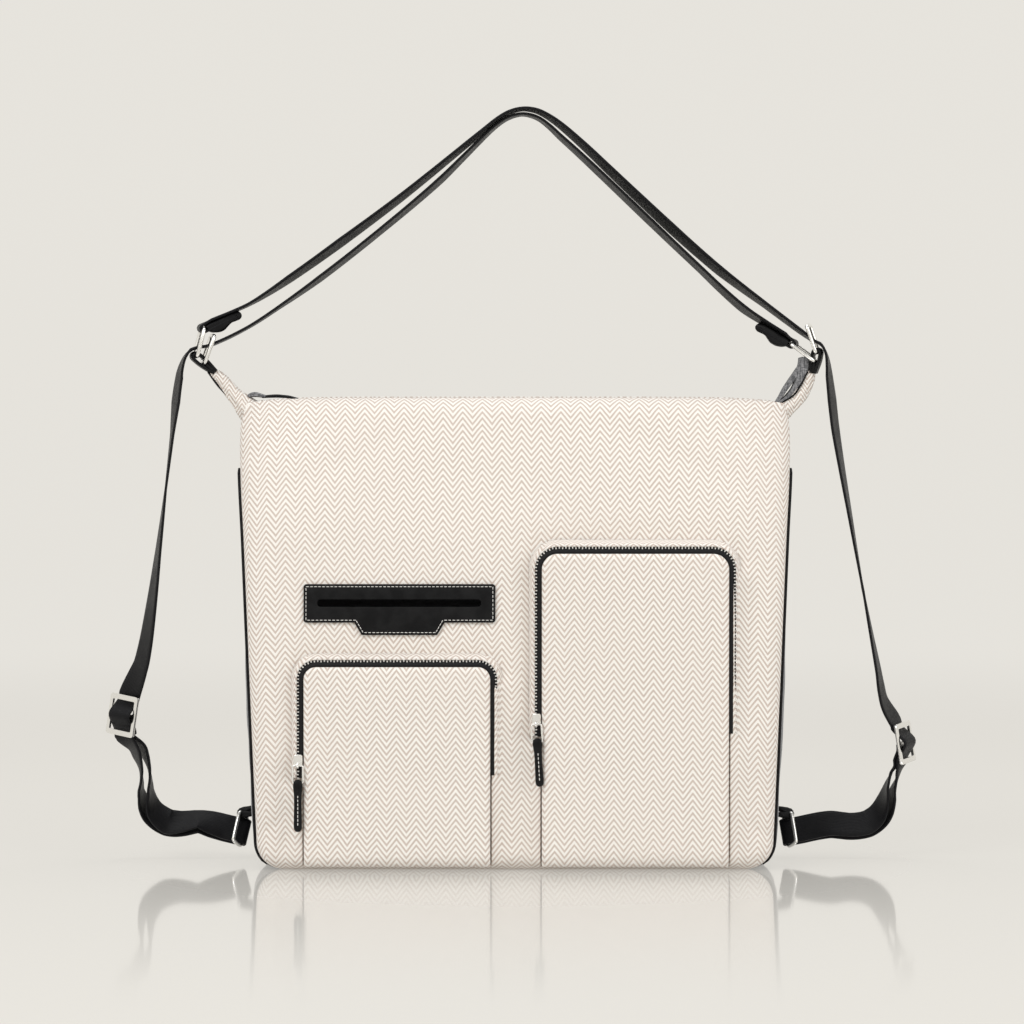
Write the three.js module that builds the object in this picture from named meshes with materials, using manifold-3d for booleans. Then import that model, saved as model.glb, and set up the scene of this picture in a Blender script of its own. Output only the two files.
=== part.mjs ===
// A convertible backpack standing on its base, with its two long straps raised as a handle.
// Millimetres, X to the right, Y to the back, Z up, origin in the middle of the base.
import * as THREE from 'three';
import { mergeVertices } from 'three/addons/utils/BufferGeometryUtils.js';
import Module from 'manifold-3d';

const wasm = await Module();
wasm.setup();

// Driving dimensions of the bag
const bodyHeight = 329;
const bodyHalfWidth = 194;
const frontDepth = 62;
const backDepth = 58;
const sideHalfDepth = 50;
const clothWall = 2;
const gussetWall = 1.5;
const baseCornerRadius = 19;
const baseEdgeRadius = 14;
const mouthRoll = 12;
const cornerDrop = 4;
const pipingRadius = 1.4;
const pipingSides = 5;
const pipingSpan = { low: 0.015, high: 0.93 };
const clearance = 0.3;

// Driving dimensions of the pockets and the patch
const smallPocket = {
  name: 'small',
  left: -146.7,
  right: -17.2,
  top: 143.2,
  radius: 8.5,
  zipLeft: 66,
  zipRight: 68,
  sliderHeight: 78.4,
  pullLength: 34,
  lean: 0,
};
const tallPocket = {
  name: 'tall',
  left: 18.6,
  right: 148.4,
  top: 221.9,
  radius: 11,
  zipLeft: 95,
  zipRight: 97,
  sliderHeight: 107,
  pullLength: 31,
  lean: 0.06,
};
const pocketBottom = 3.5;
const pocketRise = 13;
const pocketBevel = 3;
const tapeBand = 2.2;
const tapeDrop = 4;
const chainBand = 2.2;
const chainDrop = 5.5;
const patch = { left: -147, right: -13.7, bottom: 173.6, top: 200.2, radius: 2 };
const patchThickness = 1.8;
const patchTab = { drop: 8.6, shoulder: 0.235, foot: 0.197 };
const slot = { left: -137.5, right: -23.5, bottom: 184.5, top: 189.7, radius: 2.36 };
const mouthTapeWidth = 13;
const mouthTapeWall = 1;
const mouthTapeShare = 0.82;
const mouthTapeSlope = 1.5;

// How finely the walls are divided: across, and round the base, up the middle and round the mouth
const frontSteps = 9;
const backSteps = 7;
const frontRows = [3, 8, 3];
const backRows = [3, 6, 2];
const gussetRows = [3, 8, 2];
const gussetSteps = 6;

// Driving dimensions of the zip pulls
const zipSlider = { width: 6.4, height: 8.5, depth: 3.6 };
const lugThickness = 1.4;
const lugRadius = 2.1;
const pullWire = 0.7;
const pullPlay = 0.4;
const pullRingWidth = 8.6;
const pullRingHeight = 13.5;
const pullWidth = 5.2;
const pullThickness = 2.4;

// Driving dimensions of the straps and their metal
const webbingWidth = 19;
const webbingThickness = 1.8;
const ringWire = 1.3;
const ringSideClearance = 0.5;
const earRingHeight = 23;
const lowerRingHeight = 15;
const ringCornerRadius = 2.4;
const strapSlider = { length: 29, bar: 3.6, thickness: 2, radius: 2, weave: 2 };
const leatherWidth = 18;
const loopLeather = 2;
const loopGather = 1.2;
const loopSeat = 2;
const lowerLoopPlay = 2.8;
const tabThickness = 2.4;
const tabLength = 17;
const tabSetback = 8;
const earTurn = 0.16;
const earTipWidth = 10;
const earRootShare = 0.985;
const earRise = 19;
const earUp = bodyHeight + earRise;
const handleRise = 183.5;
const sideStrapReach = 60;
const lowerRing = { out: -20.5, up: 18, depth: 34, level: 0.915, aside: 0.46, ahead: 0.87, rise: 0.2 };

// The two ear tips: how far out they reach from the body and which way their loop leads on. Each
// carries two rings, with their reach along the loop and their lean.
const ears = [
  {
    side: -1,
    name: 'left',
    out: bodyHalfWidth + 19.5,
    loopAngle: 140,
    near: 8,
    nearLean: 70,
    far: 15,
    farLean: 75.5,
    tab: 'far',
  },
  {
    side: 1,
    name: 'right',
    out: bodyHalfWidth + 16.7,
    loopAngle: 101,
    near: 6.6,
    nearLean: 36,
    far: 12.5,
    farLean: 71,
    tab: 'near',
  },
];

// The ear's section from its root to its tip: shares of the way, and of the width of the tip
const earRows = [
  { along: -0.12, width: 3.1, thickness: 1.7 },
  { along: 0.15, width: 2.5, thickness: 1.6 },
  { along: 0.4, width: 1.6, thickness: 1.35 },
  { along: 0.7, width: 1.12, thickness: 1.1 },
  { along: 1.0, width: 1.0, thickness: 0.95 },
];

// A row a place along each strap. The handle's rows are shares of the ear's reach and the handle's
// rise, the ring's are shares of the ring's height, the side's and the lower rows are shares of the
// side strap's reach and the height of the ear. Turn is the twist of the band in degrees.
const straps = [
  {
    name: 'a',
    tabSide: -1,
    tabAngle: 26,
    depth: -2,
    handle: [
      { across: 0.874, rise: 0.254, turn: 3 },
      { across: 0.742, rise: 0.351, turn: 12 },
      { across: 0.577, rise: 0.487, turn: 15 },
      { across: 0.379, rise: 0.658, turn: 12 },
      { across: 0.214, rise: 0.812, turn: 9 },
      { across: 0.099, rise: 0.921, turn: 7 },
      { across: 0.033, rise: 0.979, turn: 5 },
      { across: -0.023, rise: 1.0, turn: 4 },
      { across: -0.082, rise: 0.988, turn: 7 },
      { across: -0.165, rise: 0.923, turn: 11 },
      { across: -0.313, rise: 0.764, turn: 15 },
      { across: -0.511, rise: 0.548, turn: 18 },
      { across: -0.676, rise: 0.38, turn: 16 },
      { across: -0.825, rise: 0.25, turn: 9 },
      { across: -0.94, rise: 0.15, turn: 7 },
    ],
    ring: [
      { inward: 0.022, up: 0.904, turn: 3 },
      { inward: -0.21, up: 0.79, turn: 0 },
      { inward: -0.37, up: 0.5, turn: -4 },
    ],
    side: [
      { out: 0.13, down: 0.01, turn: -14 },
      { out: 0.165, down: 0.06, turn: -18 },
      { out: 0.207, down: 0.121, turn: -17 },
      { out: 0.369, down: 0.284, turn: -9 },
      { out: 0.539, down: 0.4465, turn: -2 },
      { out: 0.725, down: 0.61, turn: -12 },
      { out: 0.81, down: 0.68, turn: -20 },
    ],
    slider: { out: 1.056, down: 0.7605, turn: -27, lean: -9.2 },
    lower: [
      { out: 0.991, down: 0.8244, turn: -10, gap: 5 },
      { out: 0.935, down: 0.856, turn: 4, gap: 5.6 },
      { out: 0.89, down: 0.882, turn: 22, gap: 5.6 },
      { out: 0.8, down: 0.912, turn: 42, gap: 5.4 },
      { out: 0.635, down: 0.9323, turn: 58, gap: 5 },
      { out: 0.418, down: 0.9374, turn: 56, gap: 5 },
      { out: 0.199, down: 0.933, turn: 62, gap: 5 },
      { out: -0.019, down: 0.938, turn: 68, gap: 5 },
      { out: -0.17, down: 0.9435, turn: 68, gap: 5 },
    ],
  },
  {
    name: 'b',
    tabSide: 1,
    tabAngle: 32,
    depth: 2,
    handle: [
      { across: 0.765, rise: 0.234, turn: 13 },
      { across: 0.618, rise: 0.388, turn: 10 },
      { across: 0.418, rise: 0.606, turn: 11 },
      { across: 0.25, rise: 0.79, turn: 10 },
      { across: 0.15, rise: 0.895, turn: 8 },
      { across: 0.083, rise: 0.961, turn: 5 },
      { across: 0.023, rise: 0.98, turn: 3 },
      { across: -0.04, rise: 0.955, turn: 4 },
      { across: -0.117, rise: 0.878, turn: 6 },
      { across: -0.25, rise: 0.727, turn: 10 },
      { across: -0.451, rise: 0.532, turn: 9 },
      { across: -0.652, rise: 0.351, turn: 9 },
      { across: -0.795, rise: 0.236, turn: 3 },
      { across: -0.894, rise: 0.163, turn: 2 },
    ],
    ring: [
      { inward: -0.074, up: 0.752, turn: 3 },
      { inward: -0.428, up: 0.696, turn: 2 },
      { inward: -0.674, up: 0.6, turn: 1 },
      { inward: -0.84, up: 0.37, turn: -4 },
    ],
    side: [
      { out: 0.38, down: 0.012, turn: -16 },
      { out: 0.425, down: 0.065, turn: -18 },
      { out: 0.468, down: 0.13, turn: -8 },
      { out: 0.545, down: 0.24, turn: -3 },
      { out: 0.635, down: 0.365, turn: -12 },
      { out: 0.766, down: 0.528, turn: -28 },
      { out: 0.859, down: 0.604, turn: -36 },
    ],
    slider: { out: 1.079, down: 0.7038, turn: -53, lean: -8.4 },
    lower: [
      { out: 0.95, down: 0.774, turn: -26, gap: 6 },
      { out: 0.875, down: 0.814, turn: -10, gap: 6 },
      { out: 0.862, down: 0.838, turn: 0, gap: 6.4 },
      { out: 0.86, down: 0.868, turn: 10, gap: 7 },
      { out: 0.771, down: 0.906, turn: 40, gap: 6 },
      { out: 0.567, down: 0.929, turn: 66, gap: 5 },
      { out: 0.385, down: 0.932, turn: 46, gap: 5 },
      { out: 0.204, down: 0.928, turn: 34, gap: 5 },
      { out: 0.059, down: 0.932, turn: 52, gap: 5 },
      { out: -0.12, down: 0.9395, turn: 64, gap: 5 },
    ],
  },
];

// One row a height: shares of the body's height, half width, front, back and side depths,
// then how square the cloth turns at the seam and how far the gusset folds in
const bodyRows = [
  { height: 0.0, width: 0.933, front: 0.98, back: 0.98, side: 0.98, square: 30, round: 0.5, fold: -0.05 },
  { height: 0.25, width: 0.951, front: 1.02, back: 1.0, side: 1.0, square: 26, round: 0.5, fold: -0.07 },
  { height: 0.5, width: 0.969, front: 0.98, back: 0.96, side: 0.93, square: 20, round: 0.5, fold: -0.05 },
  { height: 0.7, width: 0.985, front: 0.88, back: 0.85, side: 0.74, square: 13, round: 0.52, fold: 0.05 },
  { height: 0.85, width: 1.0, front: 0.73, back: 0.7, side: 0.45, square: 8, round: 0.6, fold: 0.22 },
  { height: 0.95, width: 1.0, front: 0.6, back: 0.56, side: 0.26, square: 5, round: 0.75, fold: 0.42 },
  { height: 1.0, width: 0.98, front: 0.52, back: 0.48, side: 0.18, square: 4, round: 0.9, fold: 0.5 },
];

const herringbone = { color: 0xf0e9e2, roughness: 0.85, metalness: 0 };
const heather = { color: 0x8a8b90, roughness: 0.9, metalness: 0 };
const blackCloth = { color: 0x1b1b1d, roughness: 0.7, metalness: 0 };
const blackLeather = { color: 0x1a1a1b, roughness: 0.5, metalness: 0 };
const nickel = { color: 0xd2d0cb, roughness: 0.25, metalness: 1 };

// Vertices and triangles of one closed body, turned to face out
function closedBody(vertices, triangles) {
  const [a, b, c] = [new THREE.Vector3(), new THREE.Vector3(), new THREE.Vector3()];
  let volume = 0;
  for (const [i, j, k] of triangles) {
    a.copy(vertices[i]);
    b.copy(vertices[j]);
    c.copy(vertices[k]);
    volume += a.dot(b.cross(c));
  }
  const facing = volume > 0 ? triangles : triangles.map(([i, j, k]) => [i, k, j]);
  const geometry = new THREE.BufferGeometry();
  const numbers = vertices.flatMap((vertex) => vertex.toArray());
  geometry.setAttribute('position', new THREE.Float32BufferAttribute(numbers, 3));
  geometry.setIndex(facing.flat());
  return geometry;
}

function toManifold(geometry) {
  const bare = geometry.clone();
  bare.deleteAttribute('normal');
  bare.deleteAttribute('uv');
  const merged = mergeVertices(bare, 1e-4);
  const vertProperties = new Float32Array(merged.attributes.position.array);
  const triVerts = new Uint32Array(merged.index.array);
  return new wasm.Manifold(new wasm.Mesh({ numProp: 3, vertProperties, triVerts }));
}

function fromManifold(solid) {
  const mesh = solid.getMesh();
  const geometry = new THREE.BufferGeometry();
  geometry.setAttribute('position', new THREE.Float32BufferAttribute(mesh.vertProperties, 3));
  geometry.setIndex(Array.from(mesh.triVerts));
  return geometry;
}

// A smooth value between the rows of a table, read at a share from 0 to 1
function fromRows(rows, share, name) {
  const last = rows.length - 1;
  let low = 0;
  while (low < last - 1 && rows[low + 1].height <= share) {
    low += 1;
  }
  const [before, start] = [rows[Math.max(low - 1, 0)], rows[low]];
  const [end, after] = [rows[low + 1], rows[Math.min(low + 2, last)]];
  const span = end.height - start.height;
  const t = THREE.MathUtils.clamp((share - start.height) / span, 0, 1);
  const startSlope = ((end[name] - before[name]) / (end.height - before.height || span)) * span;
  const endSlope = ((after[name] - start[name]) / (after.height - start.height || span)) * span;
  const [t2, t3] = [t * t, t * t * t];
  return (2 * t3 - 3 * t2 + 1) * start[name] + (t3 - 2 * t2 + t) * startSlope
    + (3 * t2 - 2 * t3) * end[name] + (t3 - t2) * endSlope;
}

// How far a round edge of the given radius has drawn in at a distance from its end
function arcInset(distance, radius) {
  if (distance >= radius) {
    return 0;
  }
  const left = radius - Math.max(distance, 0);
  return radius - Math.sqrt(radius * radius - left * left);
}

function halfWidthAt(height) {
  const share = height / bodyHeight;
  return bodyHalfWidth * fromRows(bodyRows, share, 'width') - arcInset(height, baseCornerRadius);
}

function sideDepthAt(height) {
  const share = height / bodyHeight;
  return sideHalfDepth * fromRows(bodyRows, share, 'side') - arcInset(height, baseEdgeRadius) * 0.5;
}

// A point on the outer face of the front (facing -1) or back (facing 1) panel; across runs -1 to 1
function panelPoint(facing, across, height) {
  const share = height / bodyHeight;
  const depth = facing < 0 ? frontDepth : backDepth;
  const name = facing < 0 ? 'front' : 'back';
  const inset = arcInset(height, baseEdgeRadius) + arcInset(bodyHeight - height, mouthRoll);
  const middle = depth * fromRows(bodyRows, share, name) - inset;
  const seam = sideDepthAt(height) + pipingRadius + clearance;
  const square = fromRows(bodyRows, share, 'square');
  const round = fromRows(bodyRows, share, 'round');
  const swell = (1 - Math.abs(across) ** square) ** round;
  const drop = cornerDrop * Math.abs(across) ** 8 * share ** 8;
  const reach = seam + (middle - seam) * swell;
  return new THREE.Vector3(across * halfWidthAt(height), facing * reach, height - drop);
}

// A point on the outer face of a gusset; across runs -1 at the front seam to 1 at the back seam
function gussetPoint(side, across, height) {
  const share = height / bodyHeight;
  const reach = sideDepthAt(height) - pipingRadius - clearance;
  const fold = sideHalfDepth * fromRows(bodyRows, share, 'fold') * (1 - across * across);
  const drop = cornerDrop * share ** 8;
  return new THREE.Vector3(side * (halfWidthAt(height) - fold), across * reach, height - drop);
}

// A wall of cloth: a grid of points on its outer face, thickened inwards, closed round its rim.
// Its ends are cut square where they meet the seams.
function clothWallSolid(pointAt, columns, rows, wall, inwards, squareEnds = true) {
  const outer = [];
  for (const row of rows) {
    outer.push(columns.map((column) => pointAt(column, row)));
  }
  const [rowCount, columnCount] = [rows.length, columns.length];
  const inner = outer.map((line, r) => line.map((point, c) => {
    const along = outer[r][Math.min(c + 1, columnCount - 1)].clone().sub(outer[r][Math.max(c - 1, 0)]);
    const up = outer[Math.min(r + 1, rowCount - 1)][c].clone().sub(outer[Math.max(r - 1, 0)][c]);
    const normal = along.cross(up).normalize().multiplyScalar(inwards * wall);
    if (squareEnds && (c === 0 || c === columnCount - 1)) {
      normal.set(-Math.sign(point.x) * wall, 0, 0);
    }
    return point.clone().add(normal);
  }));
  const vertices = [...outer.flat(), ...inner.flat()];
  const shift = rowCount * columnCount;
  const at = (r, c) => r * columnCount + c;
  const triangles = [];
  const quad = (i, j, k, l) => triangles.push([i, j, k], [i, k, l]);
  for (let r = 0; r < rowCount - 1; r += 1) {
    for (let c = 0; c < columnCount - 1; c += 1) {
      quad(at(r, c), at(r, c + 1), at(r + 1, c + 1), at(r + 1, c));
      quad(shift + at(r, c), shift + at(r + 1, c), shift + at(r + 1, c + 1), shift + at(r, c + 1));
    }
  }
  for (let c = 0; c < columnCount - 1; c += 1) {
    const top = rowCount - 1;
    quad(at(0, c + 1), at(0, c), shift + at(0, c), shift + at(0, c + 1));
    quad(at(top, c), at(top, c + 1), shift + at(top, c + 1), shift + at(top, c));
  }
  for (let r = 0; r < rowCount - 1; r += 1) {
    const end = columnCount - 1;
    quad(at(r, 0), at(r + 1, 0), shift + at(r + 1, 0), shift + at(r, 0));
    quad(at(r + 1, end), at(r, end), shift + at(r, end), shift + at(r + 1, end));
  }
  return closedBody(vertices, triangles);
}

// Heights of the rows of a wall: close together round the base edge and the mouth
function wallHeights(baseSteps, middleSteps, mouthSteps) {
  const heights = [];
  for (let i = 0; i < baseSteps; i += 1) {
    heights.push(baseCornerRadius * (1 - Math.cos((i / baseSteps) * Math.PI / 2)));
  }
  const middle = bodyHeight - baseCornerRadius - mouthRoll;
  for (let i = 0; i < middleSteps; i += 1) {
    heights.push(baseCornerRadius + (middle * i) / middleSteps);
  }
  for (let i = 0; i <= mouthSteps; i += 1) {
    heights.push(bodyHeight - mouthRoll + mouthRoll * Math.sin((i / mouthSteps) * Math.PI / 2));
  }
  return heights;
}

// Places across a panel from -1 to 1: close together near the seams, where the cloth turns
function panelColumns(middleSteps) {
  const turns = [0.95, 0.98, 0.995, 1];
  const columns = [];
  for (let i = 1; i < middleSteps; i += 1) {
    columns.push(turns[0] * ((2 * i) / middleSteps - 1));
  }
  return [...turns.map((turn) => -turn).reverse(), ...columns, ...turns];
}

function evenSteps(from, to, count) {
  return Array.from({ length: count + 1 }, (_, i) => from + ((to - from) * i) / count);
}

// The body as one filled form, grown by a distance: cuts and seats what lies against the panels
function bodyForm(grow) {
  const columns = panelColumns(frontSteps);
  const heights = wallHeights(...frontRows);
  const loops = heights.map((height) => {
    const front = columns.map((across) => panelPoint(-1, across, height));
    const back = [...columns].reverse().map((across) => panelPoint(1, across, height));
    return [...front, ...back].map((point) => {
      const stretch = (Math.abs(point.x) + grow) / Math.max(Math.abs(point.x), grow);
      return new THREE.Vector3(point.x * stretch, point.y + Math.sign(point.y) * grow, point.z);
    });
  });
  const count = loops[0].length;
  const vertices = loops.flat();
  const triangles = [];
  for (let r = 0; r < loops.length - 1; r += 1) {
    for (let c = 0; c < count; c += 1) {
      const next = (c + 1) % count;
      triangles.push([r * count + c, r * count + next, (r + 1) * count + next]);
      triangles.push([r * count + c, (r + 1) * count + next, (r + 1) * count + c]);
    }
  }
  const caps = [[0, -1], [loops.length - 1, 1]];
  for (const [r, turn] of caps) {
    const centre = vertices.length;
    vertices.push(new THREE.Vector3(0, 0, heights[r]));
    for (let c = 0; c < count; c += 1) {
      const pair = [r * count + c, r * count + ((c + 1) % count)];
      triangles.push(turn > 0 ? [pair[0], pair[1], centre] : [pair[1], pair[0], centre]);
    }
  }
  return toManifold(closedBody(vertices, triangles));
}

const bodySeat = bodyForm(clearance);

// A flat outline in X and Z, extruded along Y from one depth to another, its ends bevelled if asked
function prism(shape, nearY, farY, bevel = 0, curveSegments = 4) {
  const geometry = new THREE.ExtrudeGeometry(shape, {
    depth: farY - nearY - 2 * bevel,
    bevelEnabled: bevel > 0,
    bevelThickness: bevel,
    bevelSize: bevel * 0.8,
    bevelOffset: -bevel * 0.8,
    bevelSegments: Math.ceil(bevel / 2),
    curveSegments,
  });
  geometry.rotateX(Math.PI / 2);
  geometry.translate(0, farY - bevel, 0);
  return geometry;
}

function roundedRectangle(left, right, bottom, top, radius) {
  const shape = new THREE.Shape();
  shape.moveTo(left + radius, bottom);
  shape.lineTo(right - radius, bottom);
  shape.absarc(right - radius, bottom + radius, radius, -Math.PI / 2, 0, false);
  shape.absarc(right - radius, top - radius, radius, 0, Math.PI / 2, false);
  shape.absarc(left + radius, top - radius, radius, Math.PI / 2, Math.PI, false);
  shape.absarc(left + radius, bottom + radius, radius, Math.PI, Math.PI * 1.5, false);
  return shape;
}

const pocketFace = -frontDepth - pocketRise;
const frontReach = frontDepth + 2 * pocketRise;

// A pocket's outline pushed out by a distance, with a square bottom
function pocketOutline(pocket, grow, bottom) {
  const shape = new THREE.Shape();
  const radius = pocket.radius + grow;
  shape.moveTo(pocket.left - grow, bottom);
  shape.lineTo(pocket.right + grow, bottom);
  const high = pocket.top - pocket.radius;
  shape.absarc(pocket.right - pocket.radius, high, radius, 0, Math.PI / 2, false);
  shape.absarc(pocket.left + pocket.radius, high, radius, Math.PI / 2, Math.PI, false);
  return shape;
}

// The open-backed shell of a pocket, cut to seat on the front panel
function pocketShell(pocket) {
  const outsideShape = pocketOutline(pocket, 0, pocketBottom);
  const outside = toManifold(prism(outsideShape, pocketFace, -frontDepth / 2, pocketBevel));
  const insideShape = pocketOutline(pocket, -clothWall, pocketBottom + clothWall);
  const inside = toManifold(prism(insideShape, pocketFace + clothWall, 0, pocketBevel / 2));
  return fromManifold(outside.subtract(inside).subtract(bodySeat));
}

// A band that follows the pocket's outline from one zip end over the top to the other
function zipBand(pocket, near, width, drop) {
  const shape = new THREE.Shape();
  const [inner, outer] = [pocket.radius + near, pocket.radius + near + width];
  const [leftX, rightX] = [pocket.left + pocket.radius, pocket.right - pocket.radius];
  const arcZ = pocket.top - pocket.radius;
  shape.moveTo(pocket.left - near - width, pocket.zipLeft);
  shape.lineTo(pocket.left - near, pocket.zipLeft);
  shape.absarc(leftX, arcZ, inner, Math.PI, Math.PI / 2, true);
  shape.absarc(rightX, arcZ, inner, Math.PI / 2, 0, true);
  shape.lineTo(pocket.right + near, pocket.zipRight);
  shape.lineTo(pocket.right + near + width, pocket.zipRight);
  shape.absarc(rightX, arcZ, outer, 0, Math.PI / 2, false);
  shape.absarc(leftX, arcZ, outer, Math.PI / 2, Math.PI, false);
  const band = toManifold(prism(shape, pocketFace + drop, -frontDepth / 2));
  return fromManifold(band.subtract(bodySeat));
}

const tapeNear = clearance;
const chainNear = tapeNear + tapeBand + clearance;

// The slotted leather patch lies on the front panel and keeps its curve
function slotPatch() {
  const shape = new THREE.Shape();
  const middle = (patch.left + patch.right) / 2;
  const width = patch.right - patch.left;
  const [shoulder, foot] = [width * patchTab.shoulder, width * patchTab.foot];
  const { radius } = patch;
  const [leftX, rightX] = [patch.left + radius, patch.right - radius];
  const [lowZ, highZ] = [patch.bottom + radius, patch.top - radius];
  shape.moveTo(leftX, patch.bottom);
  shape.lineTo(middle - shoulder, patch.bottom);
  shape.lineTo(middle - foot, patch.bottom - patchTab.drop);
  shape.lineTo(middle + foot, patch.bottom - patchTab.drop);
  shape.lineTo(middle + shoulder, patch.bottom);
  shape.absarc(rightX, lowZ, radius, -Math.PI / 2, 0, false);
  shape.absarc(rightX, highZ, radius, 0, Math.PI / 2, false);
  shape.absarc(leftX, highZ, radius, Math.PI / 2, Math.PI, false);
  shape.absarc(leftX, lowZ, radius, Math.PI, Math.PI * 1.5, false);
  shape.holes.push(roundedRectangle(slot.left, slot.right, slot.bottom, slot.top, slot.radius));
  const cut = toManifold(prism(shape, -frontReach, -frontDepth / 2));
  return fromManifold(cut.intersect(bodyForm(clearance + patchThickness)).subtract(bodySeat));
}

// The route of the piping in one seam, from just above the base to the root of the ear
function pipingRoute(facing, side) {
  const start = bodyHeight * pipingSpan.low;
  const end = bodyHeight * pipingSpan.high;
  const turn = (start + baseCornerRadius) / 2;
  const heights = [start, turn, baseCornerRadius, ...evenSteps(baseCornerRadius * 2, end, 8)];
  return heights.map((height) => new THREE.Vector3(
    side * (halfWidthAt(height) - clothWall / 2 + clearance),
    facing * sideDepthAt(height),
    height,
  ));
}

// A wall with room for the piping in each of its seams
function seamed(wall, seams) {
  let solid = toManifold(wall);
  for (const [facing, side] of seams) {
    const room = bead(pipingRoute(facing, side), pipingRadius + clearance, pipingSides);
    solid = solid.subtract(toManifold(room));
  }
  return solid;
}

function frontPanel() {
  const pointAt = (across, height) => panelPoint(-1, across, height);
  const heights = wallHeights(...frontRows);
  const sheet = clothWallSolid(pointAt, panelColumns(frontSteps), heights, clothWall, -1);
  const slitOutline = roundedRectangle(slot.left, slot.right, slot.bottom, slot.top, clothWall / 2);
  const slit = toManifold(prism(slitOutline, -frontReach, 0));
  return fromManifold(seamed(sheet, [[-1, -1], [-1, 1]]).subtract(slit));
}

function backPanel() {
  const pointAt = (across, height) => panelPoint(1, across, height);
  const heights = wallHeights(...backRows);
  const sheet = clothWallSolid(pointAt, panelColumns(backSteps), heights, clothWall, 1);
  return fromManifold(seamed(sheet, [[1, -1], [1, 1]]));
}

function gusset(side) {
  const pointAt = (across, height) => gussetPoint(side, across, height);
  const heights = wallHeights(...gussetRows);
  const sheet = clothWallSolid(pointAt, evenSteps(-1, 1, gussetSteps), heights, gussetWall, -side);
  return fromManifold(seamed(sheet, [[-1, side], [1, side]]));
}

// The flat base lies between the turned-in lower edges of the walls
function basePanel() {
  const halfWidth = halfWidthAt(0) - clearance - gussetWall * 1.2;
  const seat = clearance + clothWall / 2;
  const front = -panelPoint(-1, 0, 0).y - seat;
  const back = panelPoint(1, 0, 0).y - seat;
  const radius = clothWall * 1.5;
  const shape = roundedRectangle(-halfWidth, halfWidth, -front, back, radius);
  const options = { depth: clothWall, bevelEnabled: false, curveSegments: 3 };
  return new THREE.ExtrudeGeometry(shape, options);
}

// A round bead along a route, closed at both ends
function bead(points, radius, sides) {
  const section = new THREE.Shape();
  for (let i = 0; i < sides; i += 1) {
    const angle = (2 * Math.PI * i) / sides;
    const [x, y] = [radius * Math.cos(angle), radius * Math.sin(angle)];
    if (i === 0) {
      section.moveTo(x, y);
    } else {
      section.lineTo(x, y);
    }
  }
  const route = new THREE.CatmullRomCurve3(points);
  const options = { steps: (points.length - 1) * 2, extrudePath: route, bevelEnabled: false };
  return new THREE.ExtrudeGeometry(section, options);
}

function piping(facing, side) {
  return bead(pipingRoute(facing, side), pipingRadius, pipingSides);
}

// The zip tape hangs just inside the mouth, clear of the sloping wall
function mouthTape(facing) {
  const depth = clothWall * mouthTapeSlope + clearance;
  const pointAt = (across, height) => {
    const point = panelPoint(facing, across, height);
    return new THREE.Vector3(point.x, point.y - facing * depth, point.z);
  };
  const low = bodyHeight - mouthRoll - mouthTapeWidth;
  const high = bodyHeight - mouthRoll - clearance;
  const all = panelColumns(facing < 0 ? frontSteps : backSteps);
  const columns = all.filter((across) => Math.abs(across) < mouthTapeShare);
  return clothWallSolid(pointAt, columns, evenSteps(low, high, 2), mouthTapeWall, facing, false);
}

// A flat band of leather or webbing through a list of places, each a point and the band's width direction
function band(places, width, thickness) {
  const vertices = [];
  const last = places.length - 1;
  places.forEach(({ point, across }, i) => {
    const before = places[Math.max(i - 1, 0)].point;
    const along = places[Math.min(i + 1, last)].point.clone().sub(before).normalize();
    const wide = across.clone().addScaledVector(along, -across.dot(along)).setLength(width / 2);
    const thick = along.cross(wide).setLength(thickness / 2);
    for (const [w, t] of [[-1, -1], [1, -1], [1, 1], [-1, 1]]) {
      vertices.push(point.clone().addScaledVector(wide, w).addScaledVector(thick, t));
    }
  });
  const end = last * 4;
  const triangles = [[0, 1, 2], [0, 2, 3], [end, end + 2, end + 1], [end, end + 3, end + 2]];
  for (let i = 0; i < last; i += 1) {
    for (let k = 0; k < 4; k += 1) {
      const [p, q] = [i * 4 + k, i * 4 + ((k + 1) % 4)];
      triangles.push([p, q + 4, q], [p, p + 4, q + 4]);
    }
  }
  return closedBody(vertices, triangles);
}

// The places of a band's turn round a bar, from one side of it over the outside to the other
function turnRound(centre, outward, start, radius, across, steps = 6) {
  return evenSteps(0, Math.PI, steps).map((angle) => {
    const point = centre.clone().addScaledVector(start, radius * Math.cos(angle));
    return { point: point.addScaledVector(outward, radius * Math.sin(angle)), across: across.clone() };
  });
}

// A wire ring: a round wire bent into a rectangle with rounded corners
function wireRing(centre, longWay, shortWay, length, height, wire, corner) {
  const sides = 6;
  const normal = longWay.clone().cross(shortWay).normalize();
  const vertices = [];
  const triangles = [];
  const [reach, rise] = [length / 2 - wire - corner, height / 2 - wire - corner];
  const corners = [[1, 1], [-1, 1], [-1, -1], [1, -1]];
  corners.forEach(([u, v], k) => {
    for (const angle of evenSteps(0, Math.PI / 2, 2)) {
      const heading = (k * Math.PI) / 2 + angle;
      const outward = longWay.clone().multiplyScalar(Math.cos(heading));
      outward.addScaledVector(shortWay, Math.sin(heading));
      const middle = centre.clone().addScaledVector(longWay, u * reach);
      middle.addScaledVector(shortWay, v * rise).addScaledVector(outward, corner);
      for (let i = 0; i < sides; i += 1) {
        const round = (2 * Math.PI * (i + 0.5)) / sides;
        const point = middle.clone().addScaledVector(outward, wire * Math.cos(round));
        vertices.push(point.addScaledVector(normal, wire * Math.sin(round)));
      }
    }
  });
  const stations = vertices.length / sides;
  for (let r = 0; r < stations; r += 1) {
    const next = (r + 1) % stations;
    for (let i = 0; i < sides; i += 1) {
      const j = (i + 1) % sides;
      const [p, q] = [r * sides, next * sides];
      triangles.push([p + i, q + i, q + j], [p + i, q + j, p + j]);
    }
  }
  return closedBody(vertices, triangles);
}

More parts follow.
